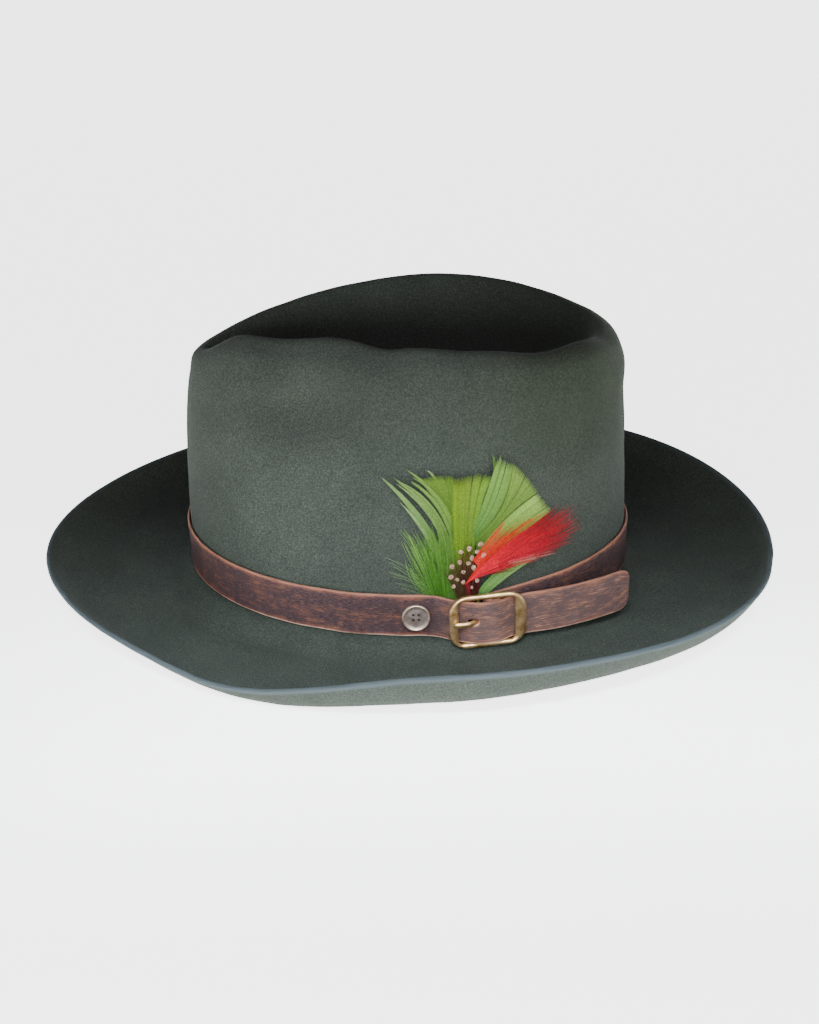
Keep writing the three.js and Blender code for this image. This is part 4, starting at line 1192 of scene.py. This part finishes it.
BARB_TREE = barb_tree()
FAN = [*FAN_VANES.values(), *(spike_vane(*row) for row in FAN_SPIKES)]
add_piece(feather("fan_blades", FAN, 14, VANE), "feather_fan")
add_piece(feather("hackle", HACKLE_VANES.values(), 12, BARB), "feather_hackle")
add_piece(feather("spotted_quill", SPOTTED_VANES.values(), 9, BARB), "feather_spotted")
add_piece(feather("red_quill", RED_VANES.values(), 12, BARB), "feather_red")
SPOT_PIECE = feather_spots()
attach(SPOT_PIECE, "root")

# Floor, light and camera, in metres

FLOOR = {"reach": 30, "height": -0.0002}
# The sky is dim overhead and pale near the horizon, where it goes on from the paper.
SKY = {"horizon": 3.6, "overhead": 0.06, "glow_top": 0.2, "tint": "#f4f6f8"}
# Lights: location, target, size, power, tint and spread in degrees.
LIGHTS = {
    "low_strip": ((-0.03, -0.45, 0.2), (0, -0.05, 0.04), (0.9, 0.12), 2.1, "#f4f7ff", 180),
    "brim_strip": ((0.1, -0.44, 0.42), (0.1, -0.14, 0), (0.6, 0.1), 0.6, "#eaf2ff", 30),
    "back_box": ((0, 1.9, 0.34), (0, 0, 0.07), (1.6, 0.4), 9, "#f4f7ff", 180),
    "left_box": ((-0.9, -1.3, 0.35), (0, 0, 0.06), (0.8, 0.5), 2.6, "#fafcff", 180),
    "right_box": ((0.9, -1.1, 0.4), (0, 0, 0.06), (0.8, 0.5), 0.3, "#ffe9b8", 180),
    "gloss_box": ((0.1, -0.6, 0.9), (0, -0.1, 0.04), (0.9, 0.5), 24, "#ffffff", 180),
}
# The photograph's view. aim is the point that the camera stands back from, and left_px and up_px are how far
# it falls from the picture's middle.
CAMERA = {"distance": 1.3, "elevation": 26, "aim": (0, 0, 0.052), "sensor_mm": 36}
PICTURE = {"focal_px": 2710.5, "height_px": 1024, "left_px": 1.5, "up_px": 37}


def soft_light(name, location, target, size, power, tint, spread):
    data = bpy.data.lights.new(name, "AREA")
    data.shape = "RECTANGLE"
    data.size, data.size_y = size
    data.energy = power
    data.spread = math.radians(spread)
    data.color = colour(tint)[:3]
    light = shown(name, data)
    light.location = location
    light.rotation_euler = (Vector(target) - Vector(location)).to_track_quat("-Z", "Y").to_euler()
    light.visible_camera = False
    return light


def sky():
    world = bpy.data.worlds.new("soft_sky")
    world.use_nodes = True
    tree = world.node_tree
    direction = add(tree, "ShaderNodeTexCoord").node.outputs["Generated"]
    height = add(tree, "ShaderNodeSeparateXYZ", [direction]).node.outputs["Z"]
    glow = add(
        tree, "ShaderNodeMapRange", [height, 0.0, SKY["glow_top"], SKY["horizon"], SKY["overhead"]],
        interpolation_type="SMOOTHSTEP",
    )
    background = tree.nodes["Background"]
    background.inputs["Color"].default_value = colour(SKY["tint"])
    tree.links.new(glow, background.inputs["Strength"])
    bpy.context.scene.world = world


def studio():
    reach, height = FLOOR["reach"], FLOOR["height"]
    corners = np.array([(x * reach, y * reach, height) for x, y in ((-1, -1), (1, -1), (1, 1), (-1, 1))])
    paper = made_of("pale_paper", pale_paper)
    floor = mesh_object("floor", corners / MM, [(0, 1, 2, 3)], paper, closed=False)
    sky()
    for name, row in LIGHTS.items():
        light = soft_light(name, *row)
        # The gloss box only gives the metal and the leather their gloss.
        light.visible_diffuse = name != "gloss_box"


def camera():
    data = bpy.data.cameras.new("camera")
    data.sensor_width = CAMERA["sensor_mm"]
    data.lens = PICTURE["focal_px"] / PICTURE["height_px"] * CAMERA["sensor_mm"]
    eye = shown("camera", data)
    elevation = math.radians(CAMERA["elevation"])
    away = Vector((0, -math.cos(elevation), math.sin(elevation)))
    eye.location = Vector(CAMERA["aim"]) + away * CAMERA["distance"]
    raised, turned = (math.atan(PICTURE[way] / PICTURE["focal_px"]) for way in ("up_px", "left_px"))
    eye.rotation_euler = (math.pi / 2 - elevation - raised, 0, -turned)
    bpy.context.scene.camera = eye


studio()
camera()
